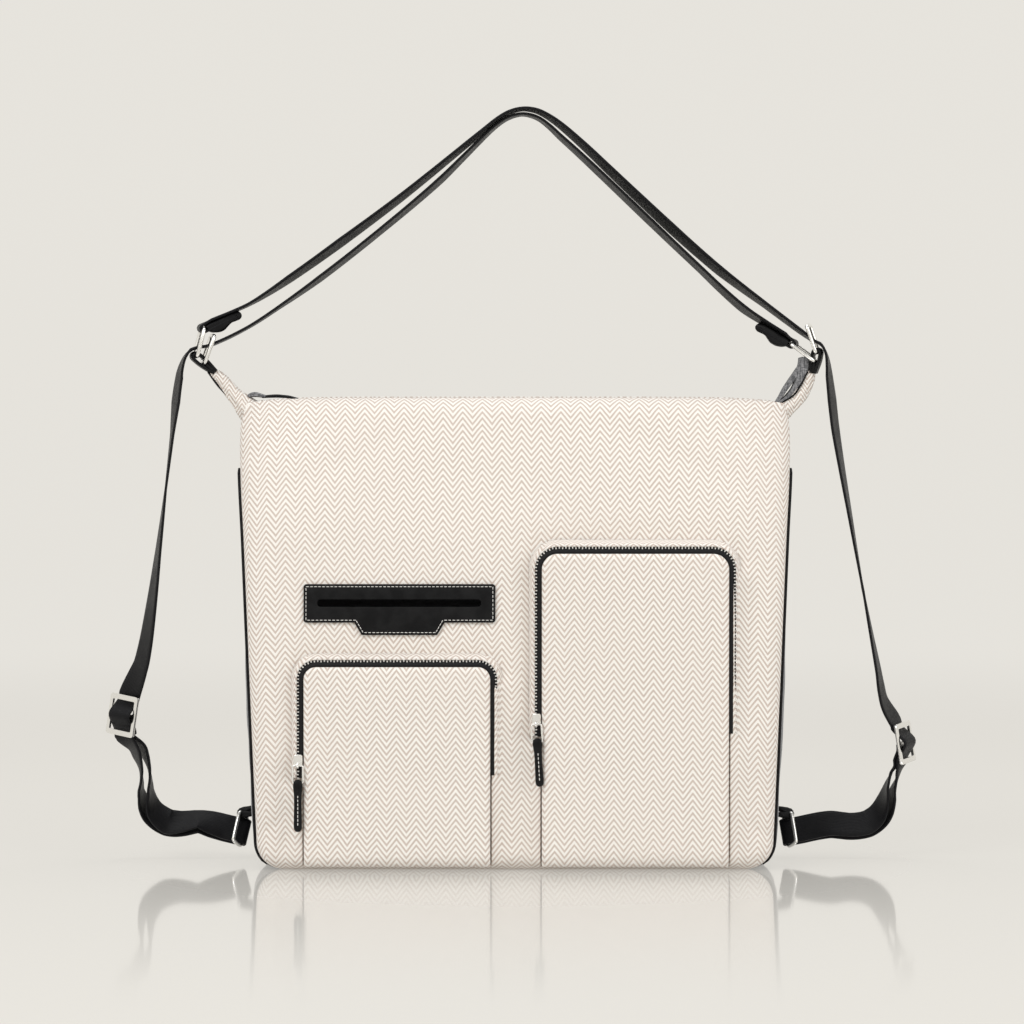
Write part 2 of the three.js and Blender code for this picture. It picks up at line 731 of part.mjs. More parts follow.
// The ear's own frame: inward towards the bag, up, and the width direction of all that hangs there
function earPlace(ear, inward, up) {
  const x = ear.side * (ear.out - inward * Math.cos(earTurn));
  return new THREE.Vector3(x, inward * Math.sin(earTurn), earUp + up);
}

function earDirection(ear, degrees) {
  const angle = THREE.MathUtils.degToRad(degrees);
  return earPlace(ear, Math.cos(angle), Math.sin(angle)).sub(earPlace(ear, 0, 0));
}

function earAcross(ear) {
  return new THREE.Vector3(ear.side * Math.sin(earTurn), Math.cos(earTurn), 0);
}

const ringLength = webbingWidth + 2 * ringSideClearance + 4 * ringWire;
const ringSpan = earRingHeight - 2 * ringWire;
const strapTurnRadius = ringWire + clearance + webbingThickness / 2;
const loopTurnRadius = ringWire + clearance + loopLeather / 2;

// Where the lower and upper bars of an ear's ring lie
function earBars(ear, which) {
  const lower = earPlace(ear, 0, 0).addScaledVector(earDirection(ear, ear.loopAngle), ear[which]);
  const lean = earDirection(ear, ear[`${which}Lean`]);
  return { lower, upper: lower.clone().addScaledVector(lean, ringSpan), lean };
}

function earRing(ear, which) {
  const { lower, upper, lean } = earBars(ear, which);
  const centre = lower.clone().add(upper).multiplyScalar(0.5);
  return wireRing(centre, earAcross(ear), lean, ringLength, earRingHeight, ringWire, ringCornerRadius);
}

// The leather loop runs from inside the ear's tip round the lower bars of both rings and back
function earLoop(ear, grow = 0) {
  const away = earDirection(ear, ear.loopAngle);
  const rise = earDirection(ear, ear.loopAngle - 90);
  const across = earAcross(ear);
  const tip = earPlace(ear, 0, 0).addScaledVector(away, -loopSeat - grow);
  const near = earBars(ear, 'near').lower;
  const far = earBars(ear, 'far').lower;
  const place = (point, sideways) => ({ point: point.clone().addScaledVector(rise, sideways), across });
  const places = [
    place(tip, loopGather),
    place(near, loopTurnRadius),
    ...turnRound(far, away, rise, loopTurnRadius, across),
    place(near, -loopTurnRadius),
    place(tip, -loopGather),
  ];
  return band(places, leatherWidth + 2 * grow, loopLeather + 2 * grow);
}

// The gathered corner of the bag: its section shrinks from the body's corner to the ear's tip
function earStrip(ear) {
  const tip = new THREE.Vector3(ear.side * ear.out, 0, earUp);
  const rootX = halfWidthAt(bodyHeight) * earRootShare;
  const root = new THREE.Vector3(ear.side * rootX, 0, bodyHeight - cornerDrop * 2);
  const away = tip.clone().sub(root);
  const across = new THREE.Vector3(-away.z, 0, away.x).normalize();
  const sides = 10;
  const squared = (value) => Math.sign(value) * Math.abs(value) ** 0.7;
  const vertices = [];
  const triangles = [];
  for (const row of earRows) {
    const middle = root.clone().addScaledVector(away, row.along);
    for (let i = 0; i < sides; i += 1) {
      const angle = (2 * Math.PI * i) / sides;
      const [u, v] = [squared(Math.cos(angle)), squared(Math.sin(angle))];
      const point = middle.clone().addScaledVector(across, (u * row.width * earTipWidth) / 2);
      point.y += (v * row.thickness * earTipWidth) / 2;
      vertices.push(point);
    }
  }
  for (let r = 0; r < earRows.length - 1; r += 1) {
    for (let i = 0; i < sides; i += 1) {
      const j = (i + 1) % sides;
      const [p, q] = [r * sides + i, r * sides + j];
      triangles.push([p, p + sides, q + sides], [p, q + sides, q]);
    }
  }
  for (let i = 1; i < sides - 1; i += 1) {
    const top = (earRows.length - 1) * sides;
    triangles.push([0, i, i + 1], [top, top + i + 1, top + i]);
  }
  const strip = toManifold(closedBody(vertices, triangles)).subtract(bodySeat);
  return fromManifold(strip.subtract(toManifold(earLoop(ear, clearance))));
}

function earOn(side) {
  return ears.find((ear) => ear.side === side);
}

// Places along a smooth route through rows that give a point and a twist
function routePlaces(rows, twistSign, steps) {
  const route = new THREE.CatmullRomCurve3(rows.map((row) => row.point), false, 'centripetal');
  const last = rows.length - 1;
  const depthWay = new THREE.Vector3(0, 1, 0);
  return evenSteps(0, last, last * steps).map((index) => {
    const low = Math.min(Math.floor(index), last - 1);
    const share = index - low;
    const along = route.getTangent(index / last);
    const blend = (name) => rows[low][name] + (rows[low + 1][name] - rows[low][name]) * share;
    const turn = THREE.MathUtils.degToRad(blend('turn')) * twistSign;
    const across = depthWay.clone().multiplyScalar(Math.cos(turn));
    across.addScaledVector(along.clone().cross(depthWay), Math.sin(turn));
    across.addScaledVector(along, -across.dot(along)).normalize();
    const away = along.clone().cross(across).multiplyScalar(twistSign);
    return { point: route.getPoint(index / last), across, along, away, gap: blend('gap') };
  });
}

// The two straps lie apart in depth over the handle and come together at the ears
function handlePoint(strap, row, ear) {
  const depth = strap.depth * (1 - Math.abs(row.across) ** 3);
  const x = strap.tabSide * row.across * ear.out;
  return new THREE.Vector3(x, depth, earUp + row.rise * handleRise);
}

// The side straps draw back towards the lower rings as they come down
function sidePoint(ear, row) {
  const depth = lowerRing.depth * THREE.MathUtils.clamp(row.down / lowerRing.level, 0, 1) ** 3;
  const x = ear.side * (earOn(-1).out + row.out * sideStrapReach);
  return new THREE.Vector3(x, depth, earUp * (1 - row.down));
}

// The bar of the lower ring that the strap turns round
function lowerBar(side) {
  return new THREE.Vector3(side * (earOn(-1).out + lowerRing.out), lowerRing.depth, lowerRing.up);
}

// A slider's frame: along the strap, across it, and away behind it
function sliderFrame(side, row, leanDegrees) {
  const [lean, turn] = [leanDegrees, row.turn].map((degrees) => THREE.MathUtils.degToRad(degrees));
  const along = new THREE.Vector3(-side * Math.sin(lean), 0, -Math.cos(lean));
  const across = new THREE.Vector3(0, Math.cos(turn), 0);
  across.addScaledVector(along.clone().cross(new THREE.Vector3(0, 1, 0)), -side * Math.sin(turn));
  const away = along.clone().cross(across).multiplyScalar(-side);
  return { point: row.point, along, across, away };
}

// All places of one strap, its slider's frame and its lower ring's frame
function strapLayout(strap) {
  const [tabEar, passEar] = [earOn(strap.tabSide), earOn(-strap.tabSide)];
  const twistSign = strap.tabSide;
  const tabBar = earBars(tabEar, tabEar.tab).upper;
  const towards = earDirection(tabEar, strap.tabAngle);
  const above = earDirection(tabEar, strap.tabAngle + 90);
  const tabAcross = earAcross(tabEar);
  const tabPoint = (reach, lift) => tabBar.clone()
    .addScaledVector(towards, reach)
    .addScaledVector(above, lift);
  const tabPlace = (reach, lift) => ({ point: tabPoint(reach, lift), across: tabAcross });
  const [back, below] = [towards.clone().negate(), above.clone().negate()];
  const start = [
    tabPlace(tabSetback + tabLength, -strapTurnRadius),
    tabPlace(tabSetback, -strapTurnRadius),
    ...turnRound(tabBar, back, below, strapTurnRadius, tabAcross),
  ];

  const handleRows = strap.handle.map((row) => ({
    point: handlePoint(strap, row, tabEar),
    turn: row.turn,
    gap: 0,
  }));
  const ringRows = strap.ring.map((row) => ({
    point: earPlace(passEar, row.inward * earRingHeight, row.up * earRingHeight),
    turn: row.turn,
    gap: 0,
  }));
  const hangingRow = (row, gap) => ({ point: sidePoint(passEar, row), turn: row.turn, gap });
  const sideRows = strap.side.map((row) => hangingRow(row, 0));
  const sliderRow = hangingRow(strap.slider, strap.lower[0].gap);
  const lowerRows = strap.lower.map((row) => hangingRow(row, row.gap));
  const bar = lowerBar(passEar.side);
  const barRow = { point: bar, turn: strap.lower.at(-1).turn, gap: 2 * strapTurnRadius };
  const leadIn = { point: tabPoint(tabSetback, strapTurnRadius), turn: strap.handle[0].turn / 2, gap: 0 };
  const over = routePlaces([leadIn, ...handleRows, ...ringRows, ...sideRows, sliderRow], twistSign, 2);
  const under = routePlaces([sliderRow, ...lowerRows, barRow], twistSign, 2);

  const slider = sliderFrame(passEar.side, sliderRow, strap.slider.lean);
  const pitch = (strapSlider.length - strapSlider.bar) / 2;
  const lift = strapSlider.thickness / 2 + clearance + webbingThickness / 2;
  const outer = lift + strapSlider.weave;
  const inner = -outer * 0.8;
  const second = webbingThickness + clearance * 2;
  const sliderPlace = (down, out) => ({
    point: slider.point.clone().addScaledVector(slider.along, down).addScaledVector(slider.away, out),
    across: slider.across,
  });
  const half = strapSlider.bar / 2;
  const threaded = [
    sliderPlace(-pitch - half, outer + clearance),
    sliderPlace(-pitch + half, outer),
    sliderPlace(-half, inner),
    sliderPlace(half, inner),
    sliderPlace(pitch - half, outer),
    sliderPlace(pitch + half, outer + clearance),
  ];
  const returned = [
    sliderPlace(pitch + half, outer + clearance + second),
    sliderPlace(pitch - half, outer + second),
    sliderPlace(pitch / 3, lift + clearance * 2),
    sliderPlace(0, lift),
  ];
  const end = under.at(-1);
  const layer = (layerNumber) => under.slice(2, -1).map((place, i, all) => {
    const settled = i / (all.length - 1);
    const offset = place.gap * (layerNumber - settled / 2);
    return { point: place.point.clone().addScaledVector(place.away, offset), across: place.across };
  });
  const inwards = end.away.clone().negate();
  const places = [
    ...start,
    ...over.slice(0, -2),
    ...threaded,
    ...layer(0),
    ...turnRound(bar, end.along, inwards, strapTurnRadius, end.across),
    ...layer(1).reverse(),
    ...returned,
  ];
  const tabDrop = strapTurnRadius + webbingThickness / 2 + clearance + tabThickness / 2;
  const tabPlaces = [0, 0.5, 1].map((share) => tabPlace(tabSetback + share * tabLength, -tabDrop));
  return { places, slider, end, tabPlaces };
}

// The strap's adjuster: a plate with two windows, the webbing woven through them
function adjuster(slider) {
  const [halfWidth, halfLength] = [ringLength / 2, strapSlider.length / 2];
  const { radius } = strapSlider;
  const shape = roundedRectangle(-halfWidth, halfWidth, -halfLength, halfLength, radius);
  const edge = halfLength - strapSlider.bar;
  const inner = webbingWidth / 2 + ringSideClearance;
  shape.holes.push(roundedRectangle(-inner, inner, strapSlider.bar / 2, edge, radius / 2));
  shape.holes.push(roundedRectangle(-inner, inner, -edge, -strapSlider.bar / 2, radius / 2));
  const options = { depth: strapSlider.thickness, bevelEnabled: false, curveSegments: 2 };
  const geometry = new THREE.ExtrudeGeometry(shape, options);
  geometry.translate(0, 0, -strapSlider.thickness / 2);
  const normal = slider.across.clone().cross(slider.along);
  const pose = new THREE.Matrix4().makeBasis(slider.across, slider.along, normal);
  geometry.applyMatrix4(pose.setPosition(slider.point));
  return geometry;
}

// The ring at a bottom corner: one long bar in the strap's fold, the other towards the front
function lowerRingFrame(end, side) {
  const longWay = end.across.clone().multiplyScalar(Math.sign(end.across.z));
  const shortWay = new THREE.Vector3(side * lowerRing.aside, -lowerRing.ahead, lowerRing.rise);
  shortWay.addScaledVector(longWay, -shortWay.dot(longWay)).normalize();
  const centre = lowerBar(side).addScaledVector(shortWay, lowerRingHeight / 2 - ringWire);
  return { centre, longWay, shortWay };
}

function cornerRing(frame) {
  const { centre, longWay, shortWay } = frame;
  return wireRing(centre, longWay, shortWay, ringLength, lowerRingHeight, ringWire, ringCornerRadius);
}

// The leather loop holds the ring's upper end and runs to the gusset beside its back seam
function cornerLoop(frame, side) {
  const strapSide = strapTurnRadius + webbingThickness / 2 + lowerLoopPlay;
  const room = lowerRingHeight - 3 * ringWire - strapSide;
  const forward = (strapSide - ringWire) / 2;
  const bar = frame.centre.clone().addScaledVector(frame.longWay, ringLength / 2 - ringWire);
  bar.addScaledVector(frame.shortWay, forward);
  const away = new THREE.Vector3(side, 0, 0);
  away.addScaledVector(frame.shortWay, -away.dot(frame.shortWay)).normalize();
  const rise = frame.shortWay.clone().cross(away).normalize();
  rise.multiplyScalar(Math.sign(rise.z));
  const across = frame.shortWay;
  const ending = (sign) => {
    const point = bar.clone().addScaledVector(rise, sign * loopTurnRadius);
    const wallX = side * halfWidthAt(point.z);
    return { point: point.addScaledVector(away, (wallX - point.x) / away.x), across };
  };
  const places = [ending(1), ...turnRound(bar, away, rise, loopTurnRadius, across), ending(-1)];
  const pointAt = (depthShare, height) => {
    const point = gussetPoint(side, depthShare, height);
    return point.setX(point.x + side * clearance);
  };
  const [columns, heights] = [evenSteps(-1, 1, gussetSteps), wallHeights(...gussetRows)];
  const seat = clothWallSolid(pointAt, columns, heights, sideHalfDepth / 5, -side);
  const loop = toManifold(band(places, room - 2 * clearance, loopLeather));
  return fromManifold(loop.subtract(toManifold(seat)));
}

// The middle of a pocket's chain, where its slider runs, and how far forward the slider lies
function chainLine(pocket) {
  return pocket.left - chainNear - chainBand / 2;
}

const sliderFront = pocketFace + tapeDrop - clearance - zipSlider.depth;
const pullDepth = sliderFront - lugRadius + pullPlay;

// The slider's body with an upright lug, bored for the pull's ring
function zipSliderBody(pocket, height) {
  const half = { x: zipSlider.width / 2, z: zipSlider.height / 2 };
  const outline = roundedRectangle(-half.x, half.x, -half.z, half.z, half.x / 2);
  const block = prism(outline, sliderFront, pocketFace + tapeDrop - clearance, 0.6, 2);
  const lugShape = new THREE.Shape();
  const reach = sliderFront - pullDepth + 0.5;
  lugShape.moveTo(reach, -lugRadius);
  lugShape.lineTo(reach, lugRadius);
  lugShape.absarc(0, 0, lugRadius, Math.PI / 2, Math.PI * 1.5, false);
  const hole = new THREE.Path();
  hole.absarc(0, 0, pullWire + pullPlay, 0, Math.PI * 2, true);
  lugShape.holes.push(hole);
  const options = { depth: lugThickness, bevelEnabled: false, curveSegments: 5 };
  const lug = new THREE.ExtrudeGeometry(lugShape, options);
  lug.translate(0, 0, -lugThickness / 2);
  lug.applyMatrix4(new THREE.Matrix4().makeBasis(
    new THREE.Vector3(0, 1, 0),
    new THREE.Vector3(0, 0, 1),
    new THREE.Vector3(1, 0, 0),
  ));
  lug.translate(0, pullDepth, -half.z + lugRadius / 2);
  const body = fromManifold(toManifold(block).add(toManifold(lug)));
  body.translate(chainLine(pocket), 0, height);
  return body;
}

// The pull's axis: the top bar of its ring, inside the slider's lug
function pullAxis(pocket, height) {
  return new THREE.Vector3(chainLine(pocket), pullDepth, height - zipSlider.height / 2 + lugRadius / 2);
}

function pullRing(pocket, height, lean) {
  const axis = pullAxis(pocket, height);
  const longWay = new THREE.Vector3(Math.cos(lean), 0, Math.sin(lean));
  const shortWay = new THREE.Vector3(-Math.sin(lean), 0, Math.cos(lean));
  const centre = axis.clone().addScaledVector(shortWay, -(pullRingHeight / 2 - pullWire));
  return wireRing(centre, longWay, shortWay, pullRingWidth, pullRingHeight, pullWire, pullWire * 1.5);
}

// The leather pull: a strip with an eye at its upper end for the ring's lower bar
function leatherPull(pocket, height, lean, length) {
  const eye = pullWire + pullPlay;
  const round = eye + pullThickness / 2;
  const half = pullThickness / 2;
  const neck = Math.sqrt(round * round - half * half);
  const shape = new THREE.Shape();
  shape.moveTo(-half, -neck);
  shape.lineTo(-half, -length + half);
  shape.absarc(0, -length + half, half, Math.PI, 2 * Math.PI, false);
  shape.lineTo(half, -neck);
  shape.absarc(0, 0, round, -Math.atan2(neck, half), Math.PI + Math.atan2(neck, half), false);
  const hole = new THREE.Path();
  hole.absarc(0, 0, eye, 0, Math.PI * 2, true);
  shape.holes.push(hole);
  const options = { depth: pullWidth, bevelEnabled: false, curveSegments: 5 };
  const strip = new THREE.ExtrudeGeometry(shape, options);
  strip.translate(0, 0, -pullWidth / 2);
  strip.applyMatrix4(new THREE.Matrix4().makeBasis(
    new THREE.Vector3(0, 1, 0),
    new THREE.Vector3(0, 0, 1),
    new THREE.Vector3(1, 0, 0),
  ));
  strip.translate(0, 0, -(pullRingHeight - 2 * pullWire));
  strip.rotateY(-lean);
  const axis = pullAxis(pocket, height);
  strip.translate(axis.x, axis.y, axis.z);
  return strip;
}

function add(group, name, geometry, finish) {
  const mesh = new THREE.Mesh(geometry, new THREE.MeshStandardMaterial(finish));
  mesh.name = name;
  group.add(mesh);
  return mesh;
}

const backpack = new THREE.Group();
add(backpack, 'front_panel', frontPanel(), herringbone);
add(backpack, 'back_panel', backPanel(), herringbone);
add(backpack, 'left_gusset', gusset(-1), heather);
add(backpack, 'right_gusset', gusset(1), heather);
add(backpack, 'base_panel', basePanel(), herringbone);
add(backpack, 'front_left_piping', piping(-1, -1), blackLeather);
add(backpack, 'front_right_piping', piping(-1, 1), blackLeather);
add(backpack, 'back_left_piping', piping(1, -1), blackLeather);
add(backpack, 'back_right_piping', piping(1, 1), blackLeather);
add(backpack, 'mouth_tape_front', mouthTape(-1), blackCloth);
add(backpack, 'mouth_tape_back', mouthTape(1), blackCloth);
add(backpack, 'slot_patch', slotPatch(), blackLeather);
for (const pocket of [smallPocket, tallPocket]) {
  const { name, sliderHeight, lean, pullLength } = pocket;
  add(backpack, `${name}_pocket`, pocketShell(pocket), herringbone);
  add(backpack, `${name}_zip_tape`, zipBand(pocket, tapeNear, tapeBand, tapeDrop), blackCloth);
  add(backpack, `${name}_zip_chain`, zipBand(pocket, chainNear, chainBand, chainDrop), nickel);
  add(backpack, `${name}_zip_slider`, zipSliderBody(pocket, sliderHeight), nickel);
  add(backpack, `${name}_pull_ring`, pullRing(pocket, sliderHeight, lean), nickel);
  add(backpack, `${name}_pull`, leatherPull(pocket, sliderHeight, lean, pullLength), blackLeather);
}

for (const ear of ears) {
  add(backpack, `${ear.name}_ear`, earStrip(ear), herringbone);
  add(backpack, `${ear.name}_ear_loop`, earLoop(ear), blackLeather);
  add(backpack, `${ear.name}_tab_ring`, earRing(ear, ear.tab), nickel);
  add(backpack, `${ear.name}_pass_ring`, earRing(ear, ear.tab === 'far' ? 'near' : 'far'), nickel);
}
for (const strap of straps) {
  const layout = strapLayout(strap);
  const passEar = earOn(-strap.tabSide);
  const frame = lowerRingFrame(layout.end, passEar.side);
  add(backpack, `strap_${strap.name}`, band(layout.places, webbingWidth, webbingThickness), blackCloth);
  const tab = band(layout.tabPlaces, leatherWidth, tabThickness);
  add(backpack, `strap_${strap.name}_tab`, tab, blackLeather);
  add(backpack, `${passEar.name}_strap_slider`, adjuster(layout.slider), nickel);
  add(backpack, `${passEar.name}_lower_ring`, cornerRing(frame), nickel);
  add(backpack, `${passEar.name}_lower_loop`, cornerLoop(frame, passEar.side), blackLeather);
}

export default backpack;
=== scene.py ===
# A convertible backpack in herringbone cloth, standing on a pale floor with its straps raised.
# Lengths are in millimetres and become metres when a mesh is made.
import math

import bmesh
import bpy
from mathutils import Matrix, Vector, noise


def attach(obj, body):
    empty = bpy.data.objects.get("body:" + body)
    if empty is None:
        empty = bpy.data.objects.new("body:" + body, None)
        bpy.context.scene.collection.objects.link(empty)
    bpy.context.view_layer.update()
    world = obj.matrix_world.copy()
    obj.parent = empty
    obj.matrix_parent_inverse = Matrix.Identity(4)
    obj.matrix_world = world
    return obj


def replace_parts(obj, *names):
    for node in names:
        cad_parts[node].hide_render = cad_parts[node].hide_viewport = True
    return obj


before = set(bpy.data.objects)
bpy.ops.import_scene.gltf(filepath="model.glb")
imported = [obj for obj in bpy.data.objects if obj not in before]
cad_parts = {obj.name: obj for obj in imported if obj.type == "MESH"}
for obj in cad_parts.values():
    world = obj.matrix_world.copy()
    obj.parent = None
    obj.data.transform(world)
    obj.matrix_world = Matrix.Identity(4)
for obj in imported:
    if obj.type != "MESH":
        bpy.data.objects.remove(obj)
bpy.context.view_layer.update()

METRES = 0.001
# Points closer than this, in metres, are one point
SAME_PLACE = 2e-6

# The body of the bag
BODY_HEIGHT = 329.0
BODY_HALF_WIDTH = 194.0
FRONT_DEPTH = 62.0
BACK_DEPTH = 58.0
SIDE_HALF_DEPTH = 50.0
CLOTH_WALL = 2.0
GUSSET_WALL = 1.5
BASE_CORNER_RADIUS = 19.0
BASE_EDGE_RADIUS = 14.0
MOUTH_ROLL = 12.0
CORNER_DROP = 4.0
PIPING_RADIUS = 1.4
PIPING_SHOW = 1.5
CLEARANCE = 0.3

# The pockets, the patch and the mouth
SMALL_POCKET = {
    "name": "small", "left": -146.7, "right": -17.2, "top": 143.2, "radius": 8.5, "zip": (66.0, 68.0),
}
TALL_POCKET = {
    "name": "tall", "left": 18.6, "right": 148.4, "top": 221.9, "radius": 11.0, "zip": (95.0, 97.0),
}
POCKETS = (SMALL_POCKET, TALL_POCKET)
POCKET_BOTTOM = 3.5
POCKET_FACE = -75.0
POCKET_EDGE = 3.0
POCKET_CROWN = 1.8
POCKET_BASE_RADIUS = 0.6 * BASE_EDGE_RADIUS
POCKET_SINK = 0.8
TAPE_WIDTH = 2.4
TAPE_DROP = 3.6
TAPE_GAP = 0.2
TAPE_STEP = 2.0
TAPE_SINK = 1.3
TAPE_WALL = 0.3
CHAIN_MIDDLE = 3.9
CHAIN_DROP = 5.2
TOOTH = {"pitch": 2.3, "wide": 1.9, "long": 1.15, "deep": 1.1, "stagger": 0.3}
PATCH = {
    "left": -147.0, "right": -13.7, "bottom": 173.6, "top": 200.2,
    "tab_drop": 8.6, "shoulder": 31.3, "foot": 26.3,
}
SLIT = {"left": -139.0, "right": -22.0, "bottom": 183.4, "top": 190.8}
MOUTH_TAPE = {"width": 13.0, "wall": 1.0, "share": 0.82, "inside": 3.3}

# Beside a pocket: how far its folds reach, what is left free at the seam, and how far from the
# pocket's edge the cloth's fine columns lie
BESIDE_REACH = 45.0
SEAM_ROOM = 3.0
BESIDE = (-1.0, 0.1, 0.7, 1.2, 1.8, 2.4, 3.0, 3.8, 5.0, 6.5, 8.5, 11.0, 14.0)

# Below its zip the front's cloth is folded up against a pocket, beside the zip it dips, and on the
# pocket's right it laps over the tape
FOLD = {"gap": 0.9, "rise": 7.5, "reach": 11.0, "start": 1.0, "full": 9.0, "foot": 7.0}
DIP = {"depth": 1.6, "middle": 6.5, "reach": 4.5}
LAP = {"gap": 1.3, "rise": 9.0, "reach": 9.0, "start": 0.6, "full": 1.7}

# The strip of cloth that climbs from the front to the outer edge of a zip's tape
RISE = {
    "drop": 1.8, "foot": 6.0, "sink": 1.0, "hem": 2.4, "hem_depth": 1.6, "out": 2.8, "width": 3.2,
    "wall": 0.8,
}

# The straps
WEBBING = {"width": 19.0, "thickness": 1.8}
LEATHER_BAND = {"width": 18.0, "thickness": 2.0}

# The herringbone: width of one zigzag, how far it rises, how far apart its lines lie, in metres
ZIGZAG = {"period": 0.0137, "rise": 0.0089, "pitch": 0.0045}

# How finely the cloth walls are divided: rows up the bag and columns round it. The front has columns of
# its own over each pocket and from the outer pockets' sides to the seams.
FRONT_ROWS = 150
OVER_POCKET_COLUMNS = 28
SEAM_COLUMNS = 35
BACK_ROWS = 90
BACK_COLUMNS = 140
GUSSET_ROWS = 90
GUSSET_COLUMNS = 40

# Unevenness of the cloth: the size of its waves and their depth
PANEL_WAVES = ((60, 0.9), (22, 0.35))
GUSSET_WAVE = (30, 1.0)
# The gusset's top draws in between two heights
GUSSET_TUCK = {"depth": 2.4, "start": 262, "full": 285}
# Which share of the height the piping spans
PIPING_SPAN = (0.012, 0.85)

# One row a height: shares of the body's height, half width, front, back and side depths,
# then how square the cloth turns at the seam and how far the gusset folds in
BODY_COLUMNS = ("height", "width", "front", "back", "side", "square", "round", "fold")
BODY_ROWS = [
    dict(zip(BODY_COLUMNS, row))
    for row in (
        (0.0, 0.933, 0.98, 0.98, 0.98, 30, 0.5, -0.05),
        (0.25, 0.951, 1.02, 1.0, 1.0, 26, 0.5, -0.07),
        (0.5, 0.969, 0.98, 0.96, 0.93, 20, 0.5, -0.05),
        (0.7, 0.985, 0.88, 0.85, 0.74, 13, 0.52, 0.05),
        (0.85, 1.0, 0.73, 0.7, 0.45, 8, 0.6, 0.22),
        (0.95, 1.0, 0.6, 0.56, 0.26, 5, 0.75, 0.42),
        (1.0, 0.98, 0.52, 0.48, 0.18, 4, 0.9, 0.5),
    )
]

# Creases pressed into the front: middle, direction in degrees, half length, half width and depth
CREASE_COLUMNS = ("x", "z", "turn", "length", "width", "depth")
CREASES = [
    dict(zip(CREASE_COLUMNS, row))
    for row in (
        (-183, 255, 62, 26, 5, 1.6),
        (-176, 236, 75, 22, 4, 1.2),
        (-180, 292, 40, 20, 5, 1.5),
        (182, 268, 118, 26, 5, 1.6),
        (174, 240, 105, 24, 5, 1.3),
        (183, 296, 140, 20, 5, 1.5),
        (-171, 30, 35, 16, 4, 1.5),
        (-160, 22, 70, 12, 3, 1.2),
        (170, 28, 145, 14, 4, 1.3),
        (-166, 110, 92, 45, 6, 0.8),
        (162, 150, 90, 45, 6, 0.7),
        (80, 236, 2, 60, 6, 0.9),
        (-80, 157, 0, 60, 5, 0.8),
        (-120, 285, 25, 60, 9, 0.9),
        (110, 290, 155, 60, 9, 0.9),
    )
]


# Numbers and curves

def from_rows(share, name):
    """A smooth value between the rows of the body's table, read at a share from 0 to 1."""
    last = len(BODY_ROWS) - 1
    low = 0
    while low < last - 1 and BODY_ROWS[low + 1]["height"] <= share:
        low += 1
    before, start = BODY_ROWS[max(low - 1, 0)], BODY_ROWS[low]
    end, after = BODY_ROWS[low + 1], BODY_ROWS[min(low + 2, last)]
    span = end["height"] - start["height"]
    t = min(max((share - start["height"]) / span, 0.0), 1.0)
    start_slope = (end[name] - before[name]) / ((end["height"] - before["height"]) or span) * span
    end_slope = (after[name] - start[name]) / ((after["height"] - start["height"]) or span) * span
    t2, t3 = t * t, t * t * t
    return ((2 * t3 - 3 * t2 + 1) * start[name] + (t3 - 2 * t2 + t) * start_slope
            + (3 * t2 - 2 * t3) * end[name] + (t3 - t2) * end_slope)


def arc_inset(distance, radius):
    """How far a round edge has drawn in at a distance from its end."""
    if distance >= radius:
        return 0.0
    left = radius - max(distance, 0.0)
    return radius - math.sqrt(radius * radius - left * left)


def half_width_at(height):
    """Half the bag's width at a height."""
    share = height / BODY_HEIGHT
    return BODY_HALF_WIDTH * from_rows(share, "width") - arc_inset(height, BASE_CORNER_RADIUS)


def side_depth_at(height):
    """How far the side seams lie from the bag's middle plane at a height."""
    share = height / BODY_HEIGHT
    return SIDE_HALF_DEPTH * from_rows(share, "side") - arc_inset(height, BASE_EDGE_RADIUS) * 0.5


def panel_point(facing, across, height):
    """A point on the outer face of the front (facing -1) or back (facing 1) panel."""
    share = height / BODY_HEIGHT
    depth, name = (FRONT_DEPTH, "front") if facing < 0 else (BACK_DEPTH, "back")
    inset = arc_inset(height, BASE_EDGE_RADIUS) + arc_inset(BODY_HEIGHT - height, MOUTH_ROLL)
    seam = side_depth_at(height) + PIPING_RADIUS + CLEARANCE
    middle = max(depth * from_rows(share, name) - inset, seam)
    swell = (1 - abs(across) ** from_rows(share, "square")) ** from_rows(share, "round")
    drop = CORNER_DROP * abs(across) ** 8 * share ** 8
    x = across * (half_width_at(height) - PIPING_SHOW * abs(across) ** 20)
    return Vector((x, facing * (seam + (middle - seam) * swell), height - drop))


def gusset_point(side, across, height):
    """A point on the outer face of a gusset, from its front seam at -1 to its back seam at 1."""
    share = height / BODY_HEIGHT
    reach = side_depth_at(height) - PIPING_RADIUS - CLEARANCE
    fold = SIDE_HALF_DEPTH * from_rows(share, "fold") * (1 - across * across)
    return Vector((side * (half_width_at(height) - fold), across * reach, height - CORNER_DROP * share ** 8))


def seam_point(facing, side, height):
    """A point on the route of a seam's piping."""
    across = half_width_at(height) - CLOTH_WALL / 2 + CLEARANCE
    return Vector((side * across, facing * side_depth_at(height), height))


def panel_depth(x, z):
    """The depth of the front panel's face at a place on it."""
    height = min(max(z, 0.0), BODY_HEIGHT)
    across = min(max(x / half_width_at(height), -1.0), 1.0)
    return panel_point(-1, across, height).y


def crease_depth(x, z):
    """How far the creases press the front panel in at a place."""
    depth = 0.0
    for crease in CREASES:
        turn = math.radians(crease["turn"])
        dx, dz = x - crease["x"], z - crease["z"]
        along = (dx * math.cos(turn) + dz * math.sin(turn)) / crease["length"]
        beside = (dz * math.cos(turn) - dx * math.sin(turn)) / crease["width"]
        depth += crease["depth"] * math.exp(-along * along - beside * beside)
    return depth


def blended(value, low, high):
    """A smooth step from 0 at a low value to 1 at a high one."""
    t = min(max((value - low) / (high - low), 0.0), 1.0)
    return t * t * (3 - 2 * t)


